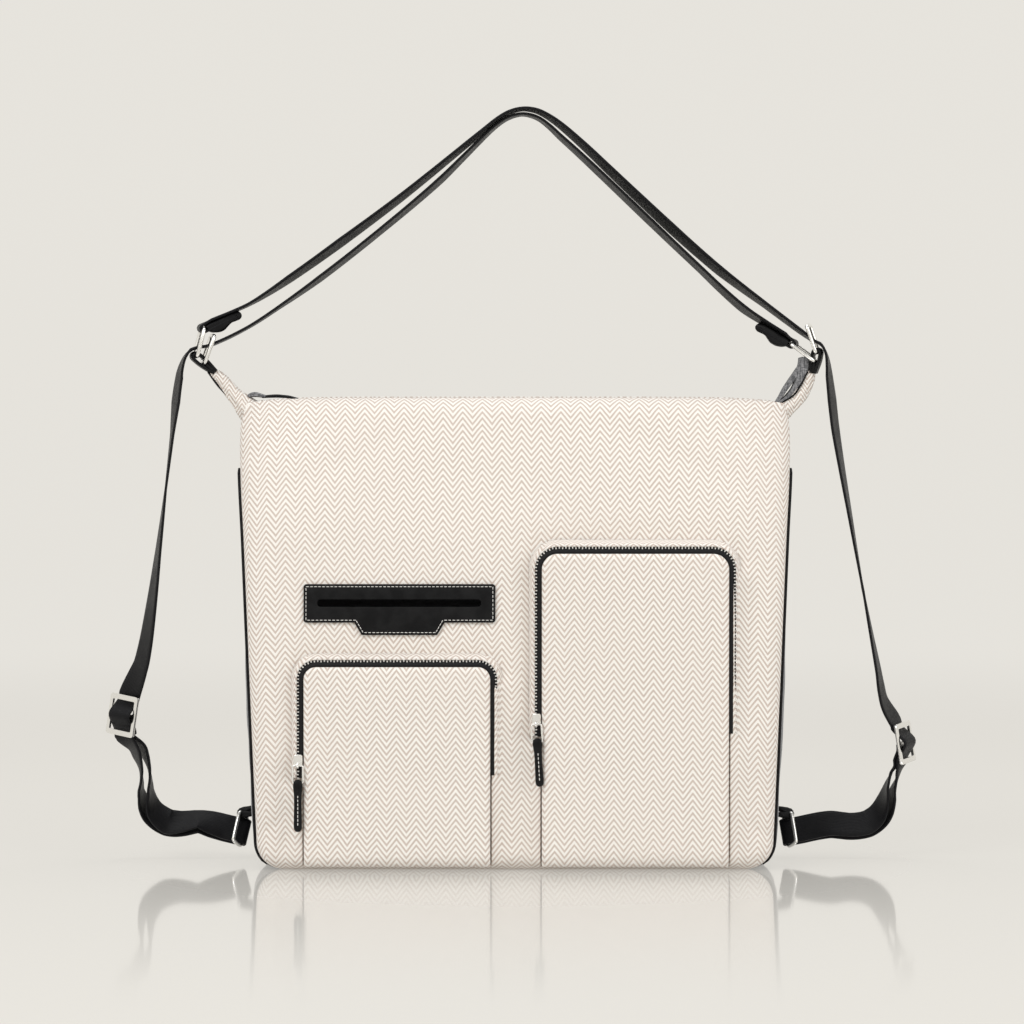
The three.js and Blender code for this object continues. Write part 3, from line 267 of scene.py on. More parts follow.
def lip(distance, shape):
    """The height of a fold's lip at a distance from the pocket."""
    if distance < shape["gap"]:
        return shape["rise"] * blended(distance, shape["gap"] - 0.6, shape["gap"])
    return shape["rise"] * math.exp(-(((distance - shape["gap"]) / shape["reach"]) ** 1.5))


def beside_pockets(x, z):
    """How far the front cloth stands out beside the pockets."""
    out = 0.0
    for pocket in POCKETS:
        left, right, top = pocket["left"], pocket["right"], pocket["top"]
        side = -1 if x < (left + right) / 2 else 1
        zip_end = pocket["zip"][0 if side < 0 else 1]
        across = max(left - x, x - right)
        away = math.hypot(max(across, 0.0), max(z - top, 0.0))
        if away > BESIDE_REACH or away == 0.0:
            continue
        sewn = blended(zip_end - z, FOLD["start"], FOLD["full"])
        if across > 0 and z < top:
            out += sewn * lip(across, FOLD) * blended(z, 0.0, FOLD["foot"])
            if side > 0:
                beside_zip = (1 - sewn) * blended((top - z) / pocket["radius"], LAP["start"], LAP["full"])
                need = LAP["rise"] + (panel_depth(x, z) + FRONT_DEPTH)
                out += beside_zip * lip(across, LAP) * need / LAP["rise"]
                sewn = max(sewn, beside_zip)
        out -= (1 - sewn) * DIP["depth"] * math.exp(-(((away - DIP["middle"]) / DIP["reach"]) ** 2))
    return out


def front_columns(height):
    """Where the front's columns cross a row: close together beside the pockets and at the seams."""
    half = half_width_at(height)
    marks = []
    for pocket in POCKETS:
        marks += [pocket["left"] - distance for distance in reversed(BESIDE)]
        marks += evenly(pocket["left"] + 1, pocket["right"] - 1, OVER_POCKET_COLUMNS)[1:-1]
        marks += [pocket["right"] + distance for distance in BESIDE]
    narrow = min((half - SEAM_ROOM) / marks[-1], 1.0)
    marks = [x * narrow for x in marks]
    shares = [1 - math.cos(math.pi / 2 * t) for t in evenly(0, 1, SEAM_COLUMNS)[:-1]]
    left = [-half + (marks[0] + half) * share for share in shares]
    right = [half - (half - marks[-1]) * share for share in reversed(shares)]
    return [x / half for x in left + marks + right]


def ripple(point, size, depth):
    """A gentle unevenness of cloth."""
    return depth * noise.noise(point / size)


def way_along(points, i):
    """The direction of a route at one of its points."""
    return (points[min(i + 1, len(points) - 1)] - points[max(i - 1, 0)]).normalized()


def squarish(angle, power):
    """A point of a rounded square of half width 1: the lower the power, the squarer."""
    return [math.copysign(abs(value) ** power, value) for value in (math.cos(angle), math.sin(angle))]


def turns(sides):
    """The angles of points evenly round a ring."""
    return [2 * math.pi * k / sides for k in range(sides)]


def evenly(start, end, count):
    """Values from start to end in a number of equal steps."""
    return [start + (end - start) * i / count for i in range(count + 1)]


def closer_at_ends(start, end, count):
    """Values from start to end whose steps grow towards the middle."""
    return [start + (end - start) * (1 - math.cos(math.pi * i / count)) / 2 for i in range(count + 1)]


def resampled(points, pitch):
    """The same polyline with its points an even distance apart."""
    lengths = [0.0]
    for a, b in zip(points, points[1:]):
        lengths.append(lengths[-1] + (b - a).length)
    count = max(round(lengths[-1] / pitch), 2)
    found = []
    piece = 0
    for i in range(count + 1):
        wanted = lengths[-1] * i / count
        while piece < len(points) - 2 and lengths[piece + 1] < wanted:
            piece += 1
        span = lengths[piece + 1] - lengths[piece] or 1.0
        found.append(points[piece].lerp(points[piece + 1], (wanted - lengths[piece]) / span))
    return found


# Making meshes

def placed(name, data):
    """A new object in the scene."""
    made = bpy.data.objects.new(name, data)
    bpy.context.scene.collection.objects.link(made)
    return made


def make_piece(name, vertices, faces, materials, cloth=None, body="bag", replaces=(),
               smooth=True, sheet=False):
    """A mesh object from points in millimetres, riding on a body.

    cloth holds each point's place on the flat cloth; a sheet's faces keep the side they are given.
    """
    mesh = bpy.data.meshes.new(name)
    mesh.from_pydata([tuple(v * METRES for v in point) for point in vertices], [], faces)
    if not sheet:
        shape = bmesh.new()
        shape.from_mesh(mesh)
        bmesh.ops.recalc_face_normals(shape, faces=shape.faces)
        shape.to_mesh(mesh)
        shape.free()
    for material in materials:
        mesh.materials.append(material)
    if cloth:
        layer = mesh.uv_layers.new(name="cloth")
        for loop in mesh.loops:
            u, v = cloth[loop.vertex_index]
            layer.data[loop.index].uv = (u * METRES, v * METRES)
    for polygon in mesh.polygons:
        polygon.use_smooth = smooth
    piece = placed(name, mesh)
    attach(piece, body)
    if replaces:
        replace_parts(piece, *replaces)
    return piece


def grid_faces(rows, columns, closed=False, flip=False):
    faces = []
    for r in range(rows - 1):
        for c in range(columns if closed else columns - 1):
            n = (c + 1) % columns
            face = (r * columns + c, r * columns + n, (r + 1) * columns + n, (r + 1) * columns + c)
            faces.append(face[::-1] if flip else face)
    return faces


def thicken(piece, wall, inner_material=0):
    """Gives a sheet its wall, inwards, with the lining's material on the inner side."""
    solid = piece.modifiers.new("wall", "SOLIDIFY")
    solid.thickness = wall * METRES
    solid.offset = -1
    solid.use_even_offset = False
    solid.material_offset = inner_material


def cloth_places(points, columns):
    """Each point's place on the flat cloth: its way along the row from the middle, and up the column."""
    rows = len(points) // columns
    places = [None] * len(points)
    climbed = [0.0] * columns
    for r in range(rows):
        row = points[r * columns:(r + 1) * columns]
        middle = columns // 2
        run = [0.0] * columns
        for c in range(middle + 1, columns):
            run[c] = run[c - 1] + (row[c] - row[c - 1]).length
        for c in range(middle - 1, -1, -1):
            run[c] = run[c + 1] - (row[c] - row[c + 1]).length
        for c in range(columns):
            if r:
                climbed[c] += (row[c] - points[(r - 1) * columns + c]).length
            places[r * columns + c] = (run[c], climbed[c])
    return places


def rod_faces(rings, sides, flip=False):
    """The faces round a row of rings, with one at each end."""
    faces = grid_faces(rings, sides, closed=True, flip=flip)
    ends = (tuple(reversed(range(sides))), tuple(range((rings - 1) * sides, rings * sides)))
    return faces + [end[::-1] if flip else end for end in ends]


def tube(name, points, radius, materials, sides=10, replaces=()):
    """A round bead along a route, closed at both ends."""
    vertices = []
    normal = Vector((0, 1, 0))
    for i, point in enumerate(points):
        along = way_along(points, i)
        normal = (normal - along * normal.dot(along)).normalized()
        other = along.cross(normal)
        shrink = 0.6 if i in (0, len(points) - 1) else 1.0
        for angle in turns(sides):
            vertices.append(point + (normal * math.cos(angle) + other * math.sin(angle)) * radius * shrink)
    faces = rod_faces(len(points), sides, flip=True)
    return make_piece(name, vertices, faces, materials, replaces=replaces)


def refined(node, materials, bevel=0.0, subdivide=0, swell=0.0, body="bag"):
    """A finer copy of a node's solid: its edges are rounded, or its bent wire is made smooth."""
    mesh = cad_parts[node].data.copy()
    shape = bmesh.new()
    shape.from_mesh(mesh)
    bmesh.ops.remove_doubles(shape, verts=shape.verts, dist=SAME_PLACE)
    bmesh.ops.dissolve_limit(shape, angle_limit=math.radians(3), verts=shape.verts, edges=shape.edges)
    for face in shape.faces:
        face.smooth = True
    shape.to_mesh(mesh)
    shape.free()
    mesh.materials.clear()
    for material in materials:
        mesh.materials.append(material)
    piece = placed(f"{node}_fine", mesh)
    if subdivide:
        smoother = piece.modifiers.new("smooth", "SUBSURF")
        smoother.levels = smoother.render_levels = subdivide
    if swell:
        fuller = piece.modifiers.new("fuller", "DISPLACE")
        fuller.strength = swell * METRES
        fuller.mid_level = 0
    if bevel:
        rounding = piece.modifiers.new("rounding", "BEVEL")
        rounding.width = bevel * METRES
        rounding.segments = 3
        rounding.limit_method = "ANGLE"
        rounding.angle_limit = math.radians(35)
        rounding.harden_normals = True
    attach(piece, body)
    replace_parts(piece, node)


# Materials

def node(tree, kind, inputs=None, **settings):
    """A shader node with its settings, its inputs given as numbers or as other nodes' outputs."""
    made = tree.nodes.new(kind)
    for name, value in settings.items():
        setattr(made, name, value)
    for key, value in (inputs or {}).items():
        if isinstance(value, bpy.types.NodeSocket):
            tree.links.new(value, made.inputs[key])
        else:
            made.inputs[key].default_value = value
    return made


def calc(tree, operation, *values):
    return node(tree, "ShaderNodeMath", dict(enumerate(values)), operation=operation).outputs[0]


def between(tree, value, low, high, to_low=0.0, to_high=1.0):
    inputs = {"Value": value, "From Min": low, "From Max": high, "To Min": to_low, "To Max": to_high}
    return node(tree, "ShaderNodeMapRange", inputs, interpolation_type="SMOOTHSTEP").outputs["Result"]


def mixed(tree, factor, first, second):
    made = node(tree, "ShaderNodeMix", None, data_type="RGBA")
    for key, value in (("Factor_Float", factor), ("A_Color", first), ("B_Color", second)):
        socket = next(s for s in made.inputs if s.identifier == key)
        if isinstance(value, bpy.types.NodeSocket):
            tree.links.new(value, socket)
        else:
            socket.default_value = value
    return next(s for s in made.outputs if s.identifier == "Result_Color")


def colour(red, green, blue):
    return (red, green, blue, 1.0)


def new_material(name):
    material = bpy.data.materials.new(name)
    material.use_nodes = True
    tree = material.node_tree
    return material, tree, tree.nodes["Principled BSDF"]


def feed(tree, shader, **sockets):
    for key, value in sockets.items():
        socket = shader.inputs[key.replace("_", " ")]
        if isinstance(value, bpy.types.NodeSocket):
            tree.links.new(value, socket)
        else:
            socket.default_value = value


def bump(tree, height, distance, strength=1.0):
    inputs = {"Height": height, "Distance": distance, "Strength": strength}
    return node(tree, "ShaderNodeBump", inputs).outputs["Normal"]


def here(tree):
    return node(tree, "ShaderNodeTexCoord").outputs["Object"]


def noisy(tree, where, scale, detail=3.0, stretch=(1, 1, 1)):
    if stretch != (1, 1, 1):
        where = node(tree, "ShaderNodeMapping", {"Vector": where, "Scale": stretch}).outputs["Vector"]
    inputs = {"Vector": where, "Scale": scale, "Detail": detail}
    return node(tree, "ShaderNodeTexNoise", inputs).outputs["Fac"]


def herringbone_cloth():
    """Zigzag lines of beige yarn on an off-white ground, with the fine threads of the weave."""
    line = (0.60, 0.508, 0.448)
    ground = (0.875, 0.845, 0.80)
    thread_pitch = 0.0009
    material, tree, shader = new_material("herringbone")
    place = node(tree, "ShaderNodeUVMap", None, uv_map="cloth").outputs["UV"]
    wander = noisy(tree, place, 90.0, 1.0)
    parts = node(tree, "ShaderNodeSeparateXYZ", {"Vector": place})
    half = ZIGZAG["period"] / 2
    slant = calc(tree, "DIVIDE", calc(tree, "PINGPONG", parts.outputs["X"], half), half)
    climb = calc(tree, "MULTIPLY_ADD", slant, ZIGZAG["rise"], parts.outputs["Y"])
    climb = calc(tree, "MULTIPLY_ADD", wander, 0.0012, climb)
    phase = calc(tree, "FRACT", calc(tree, "DIVIDE", climb, ZIGZAG["pitch"]))
    middle = calc(tree, "ABSOLUTE", calc(tree, "SUBTRACT", phase, 0.5))
    stripe = between(tree, middle, 0.27, 0.17)
    fibre = noisy(tree, place, 1400.0, 2.0)
    ground_shade = colour(*[c * 0.95 for c in ground])
    line_shade = colour(*[c * 0.88 for c in line])
    ground_tone = mixed(tree, between(tree, fibre, 0.3, 0.7), ground_shade, colour(*ground))
    line_tone = mixed(tree, between(tree, fibre, 0.35, 0.65), line_shade, colour(*line))
    soft = noisy(tree, here(tree), 14.0, 2.0)
    woven = mixed(tree, stripe, ground_tone, line_tone)
    shade = mixed(tree, between(tree, soft, 0.3, 0.75, 0.0, 0.10), woven, colour(0.74, 0.66, 0.60))
    threads = calc(tree, "SINE", calc(tree, "MULTIPLY", parts.outputs["X"], 2 * math.pi / thread_pitch))
    relief = calc(tree, "MULTIPLY_ADD", stripe, -0.9, calc(tree, "MULTIPLY", threads, 0.25))
    relief = calc(tree, "ADD", relief, calc(tree, "MULTIPLY", fibre, 0.5))
    feed(tree, shader, Base_Color=shade, Roughness=0.88, Sheen_Weight=0.12, Specular_IOR_Level=0.25,
         Normal=bump(tree, relief, 0.00022, 0.7))
    return material


def heather_cloth():
    """Grey cloth of mixed light and dark yarns."""
    material, tree, shader = new_material("grey_heather")
    fine = noisy(tree, here(tree), 900.0, 3.0, (1.0, 1.0, 0.25))
    streak = noisy(tree, here(tree), 420.0, 2.0, (1.0, 1.0, 3.0))
    mix = calc(tree, "ADD", calc(tree, "MULTIPLY", fine, 0.6), calc(tree, "MULTIPLY", streak, 0.4))
    tone = mixed(tree, between(tree, mix, 0.38, 0.62), colour(0.095, 0.097, 0.103), colour(0.27, 0.27, 0.28))
    feed(tree, shader, Base_Color=tone, Roughness=0.9, Sheen_Weight=0.15, Specular_IOR_Level=0.2,
         Normal=bump(tree, mix, 0.0003, 0.6))
    return material


def lining_cloth():
    """The plain dark lining inside the bag."""
    material, tree, shader = new_material("lining")
    weave = noisy(tree, here(tree), 1200.0, 2.0)
    tone = mixed(tree, weave, colour(0.045, 0.045, 0.05), colour(0.085, 0.085, 0.09))
    feed(tree, shader, Base_Color=tone, Roughness=0.75, Normal=bump(tree, weave, 0.0002, 0.4))
    return material


def leather():
    """Black leather with a fine pebbled grain."""
    material, tree, shader = new_material("black_leather")
    grain = node(tree, "ShaderNodeTexVoronoi", {"Vector": here(tree), "Scale": 1100.0},
                 feature="SMOOTH_F1").outputs["Distance"]
    pores = noisy(tree, here(tree), 2600.0, 2.0)
    wear = noisy(tree, here(tree), 120.0, 3.0)
    worn = between(tree, wear, 0.3, 0.75)
    tone = mixed(tree, worn, colour(0.0035, 0.0035, 0.004), colour(0.009, 0.009, 0.0095))
    relief = calc(tree, "MULTIPLY_ADD", pores, 0.35, grain)
    feed(tree, shader, Base_Color=tone, Roughness=between(tree, wear, 0.2, 0.8, 0.40, 0.55),
         Specular_IOR_Level=0.13, Normal=bump(tree, relief, 0.00025, 0.55))
    return material


def webbing_cloth():
    """Near-black satin webbing with fine ribs along it and a twill across them."""
    rib_pitch = 0.0012
    twill_pitch = 0.0008
    material, tree, shader = new_material("webbing")
    place = node(tree, "ShaderNodeUVMap", None, uv_map="cloth").outputs["UV"]
    parts = node(tree, "ShaderNodeSeparateXYZ", {"Vector": place})
    ribs = calc(tree, "SINE", calc(tree, "MULTIPLY", parts.outputs["X"], 2 * math.pi / rib_pitch))
    diagonal = calc(tree, "ADD", parts.outputs["X"], parts.outputs["Y"])
    twill = calc(tree, "SINE", calc(tree, "MULTIPLY", diagonal, 2 * math.pi / twill_pitch))
    relief = calc(tree, "MULTIPLY_ADD", twill, 0.4, ribs)
    wear = noisy(tree, place, 60.0, 3.0)
    tone = mixed(tree, wear, colour(0.003, 0.003, 0.0036), colour(0.009, 0.009, 0.0105))
    feed(tree, shader, Base_Color=tone, Roughness=between(tree, wear, 0.2, 0.8, 0.36, 0.48),
         Specular_IOR_Level=0.13, Sheen_Weight=0.02, Sheen_Roughness=0.4,
         Normal=bump(tree, relief, 0.00012, 0.5))
    return material


def tape_cloth():
    """Black zip tape."""
    material, tree, shader = new_material("zip_tape")
    weave = noisy(tree, here(tree), 1500.0, 2.0)
    tone = mixed(tree, weave, colour(0.004, 0.004, 0.0045), colour(0.012, 0.012, 0.013))
    feed(tree, shader, Base_Color=tone, Roughness=0.7, Specular_IOR_Level=0.2,
         Normal=bump(tree, weave, 0.0002, 0.5))
    return material


def nickel(name="nickel", roughness=0.2, tone=(0.86, 0.85, 0.82)):
    """Satin nickel, brushed a little, with faint smudges."""
    material, tree, shader = new_material(name)
    brushed = noisy(tree, here(tree), 700.0, 2.0, (1.0, 1.0, 0.15))
    smudge = noisy(tree, here(tree), 90.0, 3.0)
    feed(tree, shader, Base_Color=colour(*tone), Metallic=1.0,
         Roughness=between(tree, smudge, 0.2, 0.8, roughness - 0.05, roughness + 0.09),
         Normal=bump(tree, brushed, 0.00004, 0.5))
    return material


def thread(name, tone):
    """Sewing thread."""
    material, tree, shader = new_material(name)
    twist = noisy(tree, here(tree), 3000.0, 1.0)
    feed(tree, shader, Base_Color=colour(*tone), Roughness=0.6, Normal=bump(tree, twist, 0.0001, 0.4))
    return material


HERRINGBONE = herringbone_cloth()
HEATHER = heather_cloth()
LINING = lining_cloth()
LEATHER = leather()
WEBBING_CLOTH = webbing_cloth()
TAPE = tape_cloth()
NICKEL = nickel()
TEETH = nickel("nickel_teeth", 0.30, (0.92, 0.91, 0.88))
WHITE_THREAD = thread("white_thread", (0.80, 0.79, 0.76))


# The cloth walls

def cloth_panel(name, facing, rows):
    """The front or back panel: one sheet that rolls in at the mouth and turns to the side seams."""
    slit_heights = [SLIT["bottom"], SLIT["top"]]
    heights = sorted(closer_at_ends(0, BODY_HEIGHT, rows - 1 - len(slit_heights)) + slit_heights)
    if facing < 0:
        across = [front_columns(height) for height in heights]
    else:
        across = [[math.sin(math.pi / 2 * t) for t in evenly(-1, 1, BACK_COLUMNS - 1)]] * rows
    columns = len(across[0])
    points = [panel_point(facing, a, height) for height, row in zip(heights, across) for a in row]
    places = cloth_places(points, columns)
    for i, point in enumerate(points):
        edge = 1 - abs(across[i // columns][i % columns]) ** 30
        near_mouth = min((BODY_HEIGHT - point.z) / MOUTH_ROLL, 1.0)
        near_base = min(point.z / BASE_CORNER_RADIUS, 1.0)
        hold = edge * near_base * max(near_mouth, 0.0)
        give = sum(ripple(point, *wave) for wave in PANEL_WAVES)
        if facing < 0:
            give -= crease_depth(point.x, point.z)
            point.y -= beside_pockets(point.x, point.z)
        point.y += facing * give * hold
    faces = grid_faces(rows, columns, flip=facing > 0)
    if facing < 0:
        faces = [face for face in faces if not in_slit(points, face)]
    piece = make_piece(name, points, faces, [HERRINGBONE, LINING], places, sheet=True)
    thicken(piece, CLOTH_WALL * 0.8, 1)
    return piece


def in_slit(points, face):
    """Whether a face of the front lies where the patch's slit opens into the bag."""
    middle = sum((points[i] for i in face), Vector()) / len(face)
    return SLIT["left"] < middle.x < SLIT["right"] and SLIT["bottom"] < middle.z < SLIT["top"]


def gusset_wall(name, side):
    """A side wall of grey cloth that folds inwards at the top."""
    across = evenly(-1, 1, GUSSET_COLUMNS - 1)
    heights = closer_at_ends(0, BODY_HEIGHT, GUSSET_ROWS - 1)
    points = [gusset_point(side, a, height) for height in heights for a in across]
    for point in points:
        tuck = GUSSET_TUCK["depth"] * blended(point.z, GUSSET_TUCK["start"], GUSSET_TUCK["full"])
        point.x += side * (ripple(point, *GUSSET_WAVE) - tuck)
    faces = grid_faces(GUSSET_ROWS, GUSSET_COLUMNS, flip=side < 0)
    piece = make_piece(name, points, faces, [HEATHER, LINING], sheet=True)
    thicken(piece, GUSSET_WALL * 0.8, 1)
    return piece


def cloth_walls():
    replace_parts(cloth_panel("front_cloth", -1, FRONT_ROWS), "front_panel")
    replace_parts(cloth_panel("back_cloth", 1, BACK_ROWS), "back_panel")
    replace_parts(gusset_wall("left_side_cloth", -1), "left_gusset")
    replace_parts(gusset_wall("right_side_cloth", 1), "right_gusset")
    # The base is black leather; along the bag's bottom edge its black also gives the dark line of the contact
    # shadow, so that line is partly painted shadow.
    refined("base_panel", [LEATHER], bevel=0.6)


def pipings():
    """The black beads sewn into the four side seams."""
    for facing, depth_name in ((-1, "front"), (1, "back")):
        for side, side_name in ((-1, "left"), (1, "right")):
            heights = evenly(*[BODY_HEIGHT * share for share in PIPING_SPAN], 90)
            route = [seam_point(facing, side, height) for height in heights]
            tube(f"{depth_name}_{side_name}_bead", route, PIPING_RADIUS, [LEATHER],
                 replaces=(f"{depth_name}_{side_name}_piping",))


# The pockets

# How many steps a pocket's outline takes along each straight edge and round each corner
EDGE_STEPS = 60
CORNER_STEPS = 14


def arch(pocket, grow, left_end, right_end):
    """A pocket's outline pushed out by a distance, from its left side over the top to its right side."""
    radius = pocket["radius"]
    left, right, top = pocket["left"], pocket["right"], pocket["top"]

    def corner(x, start, end):
        reach, angles = radius + grow, evenly(start, end, CORNER_STEPS)[:-1]
        return [Vector((x + reach * math.cos(a), 0, top - radius + reach * math.sin(a))) for a in angles]

    places = [Vector((left - grow, 0, z)) for z in evenly(left_end, top - radius, EDGE_STEPS)[:-1]]
    places += corner(left + radius, math.pi, math.pi / 2)
    places += [Vector((x, 0, top + grow)) for x in evenly(left + radius, right - radius, EDGE_STEPS)[:-1]]
    places += corner(right - radius, math.pi / 2, 0)
    places += [Vector((right + grow, 0, z)) for z in evenly(top - radius, right_end, EDGE_STEPS)]
    return places


def pocket_ring(pocket, inset, depth_at):
    """One closed ring of points round a pocket, at an inset from its outline."""
    bottom = POCKET_BOTTOM + inset
    ring = arch(pocket, -inset, bottom, bottom)
    right, left = ring[-1], ring[0]
    ring += [right.lerp(left, i / EDGE_STEPS) for i in range(1, EDGE_STEPS)]
    return [Vector((p.x, depth_at(p), p.z)) for p in ring]


def pocket_cloth(pocket):
    """A pocket's front: walls that rise from the panel, a rounded edge and a gently crowned face."""
    middle = Vector(((pocket["left"] + pocket["right"]) / 2, 0, (POCKET_BOTTOM + pocket["top"]) / 2))
    half_wide = (pocket["right"] - pocket["left"]) / 2
    half_high = (pocket["top"] - POCKET_BOTTOM) / 2
    edge_face = POCKET_FACE + POCKET_EDGE

    def face_depth(point):
        u = min(abs(point.x - middle.x) / half_wide, 1.0)
        v = min(abs(point.z - middle.z) / half_high, 1.0)
        crown = POCKET_CROWN * (1 - u ** 3) * (1 - v ** 5)
        base_turn = arc_inset(point.z - POCKET_BOTTOM, POCKET_BASE_RADIUS)
        return POCKET_FACE - crown + base_turn + ripple(point, 26, 0.5) * (1 - u ** 4) * (1 - v ** 4)

    def wall_depth(point, share):
        foot = panel_depth(point.x, point.z) + POCKET_SINK
        base_turn = arc_inset(point.z - POCKET_BOTTOM, POCKET_BASE_RADIUS)
        return foot * (1 - share) + edge_face * share + base_turn * share

    rings = []
    for share in (0.0, 0.35, 0.7):
        rings.append(pocket_ring(pocket, 0.0, lambda p: wall_depth(p, share)))
    for angle in evenly(0, math.pi / 2, 5):
        inset = POCKET_EDGE * (1 - math.cos(angle))
        sink = POCKET_EDGE * (1 - math.sin(angle))
        rings.append(pocket_ring(pocket, inset, lambda p: face_depth(p) + sink))
    last = rings[-1]
    for share in evenly(0.0, 1.0, 24)[1:-1]:
        ring = []
        for p in last:
            q = Vector((p.x, 0, p.z)).lerp(middle, share)
            ring.append(Vector((q.x, face_depth(q), q.z)))
        rings.append(ring)
    count = len(rings[0])
    points = [p for ring in rings for p in ring]
    points.append(Vector((middle.x, face_depth(middle), middle.z)))
    faces = grid_faces(len(rings), count, closed=True, flip=True)
    last_ring = (len(rings) - 1) * count
    faces += [(last_ring + (i + 1) % count, last_ring + i, len(points) - 1) for i in range(count)]
    places = [(p.x, p.z) for p in points]
    make_piece(f"{pocket['name']}_pocket_cloth", points, faces, [HERRINGBONE], places,
               replaces=(f"{pocket['name']}_pocket",), sheet=True)


def outward(points, i):
    """The direction in the panel's plane that points away from a pocket at a place on its outline."""
    along = points[min(i + 1, len(points) - 1)] - points[max(i - 1, 0)]
    return Vector((-along.z, 0, along.x)).normalized()


def zip_route(pocket, grow, pitch):
    """Places an even distance apart along a pocket's zip, out from its edge by a distance."""
    return resampled(arch(pocket, grow, *pocket["zip"]), pitch)


def zip_tape(pocket):
    """The black tape that stands round a pocket, its edge folded over under the cloth."""
    route = zip_route(pocket, TAPE_GAP, TAPE_STEP)
    width, drop = TAPE_WIDTH, TAPE_DROP
    # The tape across: how far out from the pocket's edge and how far behind its face
    section = [(0.0, drop + 6.0), (0.0, drop + 0.6), (0.35, drop), (width * 0.6, drop + 0.1),
               (width, drop + 0.7), (width + 0.4, drop + 1.8), (width + 2.2, drop + 2.4),
               (width + 2.6, drop + 3.4), (width + 2.6, drop + 6.0)]
    points = []
    for i, place in enumerate(route):
        away = outward(route, i)
        for out, back in section:
            p = place + away * out
            points.append(Vector((p.x, min(POCKET_FACE + back, panel_depth(p.x, p.z) + TAPE_SINK), p.z)))
    faces = grid_faces(len(route), len(section))
    piece = make_piece(f"{pocket['name']}_tape_cloth", points, faces, [TAPE],
                       replaces=(f"{pocket['name']}_zip_tape",), sheet=True)
    thicken(piece, TAPE_WALL)


def pocket_side(pocket):
    """The cloth that rises from the front to the outer edge of a pocket's zip."""
    route = zip_route(pocket, TAPE_GAP, TAPE_STEP)
    start = POCKET_FACE + TAPE_DROP + RISE["drop"]
    shares = evenly(0, 1, 6)
    points = []
    places = []
    for i, place in enumerate(route):
        away = outward(route, i)
        foot = place + away * (TAPE_WIDTH + RISE["foot"])
        end = panel_depth(foot.x, foot.z) + RISE["sink"]
        points.append(place + away * (TAPE_WIDTH + RISE["hem"]) + Vector((0, start + RISE["hem_depth"], 0)))
        for share in shares:
            p = place + away * (TAPE_WIDTH + RISE["out"] + RISE["width"] * share)
            points.append(Vector((p.x, start + (end - start) * (1 - (1 - share) ** 2), p.z)))
        for share in [0.0] + shares:
            on_cloth = place + away * (TAPE_WIDTH + (end - start) * share)
            places.append((on_cloth.x, on_cloth.z))
    columns = len(shares) + 1
    faces = grid_faces(len(route), columns)
    piece = make_piece(f"{pocket['name']}_pocket_side", points, faces, [HERRINGBONE],
                       places, sheet=True)
    thicken(piece, RISE["wall"])


def zip_teeth(pocket):
    """Metal teeth side by side along a pocket's zip, every other one a little to one side."""
    route = zip_route(pocket, CHAIN_MIDDLE, TOOTH["pitch"])
    face = POCKET_FACE + CHAIN_DROP
    wide, long, deep = TOOTH["wide"], TOOTH["long"], TOOTH["deep"]
    points = []
    faces = []
    for i, place in enumerate(route):
        away = outward(route, i)
        along = Vector((away.z, 0, -away.x))
        shift = TOOTH["stagger"] * (1 if i % 2 else -1)
        for level, narrow in ((deep, 1.0), (deep * 0.35, 1.0), (0.0, 0.62)):
            for u, v in ((-1, -1), (1, -1), (1, 1), (-1, 1)):
                p = place + away * (shift + u * narrow * wide / 2) + along * (v * narrow * long / 2)
                points.append(Vector((p.x, face + level, p.z)))
        base = i * 12
        for low in (base, base + 4):
            for k in range(4):
                n = (k + 1) % 4
                faces.append((low + k, low + 4 + k, low + 4 + n, low + n))
        faces.append((base + 8, base + 11, base + 10, base + 9))
        faces.append((base, base + 1, base + 2, base + 3))
    make_piece(f"{pocket['name']}_teeth", points, faces, [TEETH],
               replaces=(f"{pocket['name']}_zip_chain",), smooth=False)


# Stitches

# A stitch from end to end: share of its length, how far it stands off the leather and how thick it is
STITCH_ROWS = ((0.0, -0.9, 0.5), (0.14, 0.2, 1.0), (0.5, 0.45, 1.0), (0.86, 0.2, 1.0), (1.0, -0.9, 0.5))


def stitches(name, routes, length, gap, radius, body="bag"):
    """Short white threads laid along routes, each a thin capsule whose ends dip into the leather."""
    points = []
    faces = []
    sides = 5
    for route, normal in routes:
        marks = resampled(route, length + gap)
        for start, end in zip(marks, marks[1:]):
            along = (end - start).normalized()
            other = along.cross(normal).normalized()
            base = len(points)
            for share, lift, size in STITCH_ROWS:
                middle = start + along * (share * length) + normal * (radius * lift)
                for angle in turns(sides):
                    spoke = normal * math.cos(angle) + other * math.sin(angle)
                    points.append(middle + spoke * radius * size)
            around = grid_faces(len(STITCH_ROWS), sides, closed=True)
            faces += [tuple(base + i for i in face) for face in around]
    make_piece(name, points, faces, [WHITE_THREAD], body=body)


def patch_stitches():
    """The white stitching just inside the edge of the slotted patch."""
    inset, slant, lift = 1.7, 1.1, 2.1
    left, right = PATCH["left"] + inset, PATCH["right"] - inset
    bottom, top = PATCH["bottom"] + inset, PATCH["top"] - inset
    middle = (PATCH["left"] + PATCH["right"]) / 2
    low = PATCH["bottom"] - PATCH["tab_drop"] + inset
    outline = [(left, top), (right, top), (right, bottom), (middle + PATCH["shoulder"] - slant, bottom),
               (middle + PATCH["foot"] - slant, low), (middle - PATCH["foot"] + slant, low),
               (middle - PATCH["shoulder"] + slant, bottom), (left, bottom), (left, top)]
    routes = []
    for (x0, z0), (x1, z1) in zip(outline, outline[1:]):
        run = []
        for share in evenly(0, 1, 20):
            x, z = x0 + (x1 - x0) * share, z0 + (z1 - z0) * share
            run.append(Vector((x, panel_depth(x, z) - lift, z)))
        routes.append((run, Vector((0, -1, 0))))
    stitches("patch_stitches", routes, 2.0, 0.8, 0.22)


# Bands: webbing, tabs and leather loops

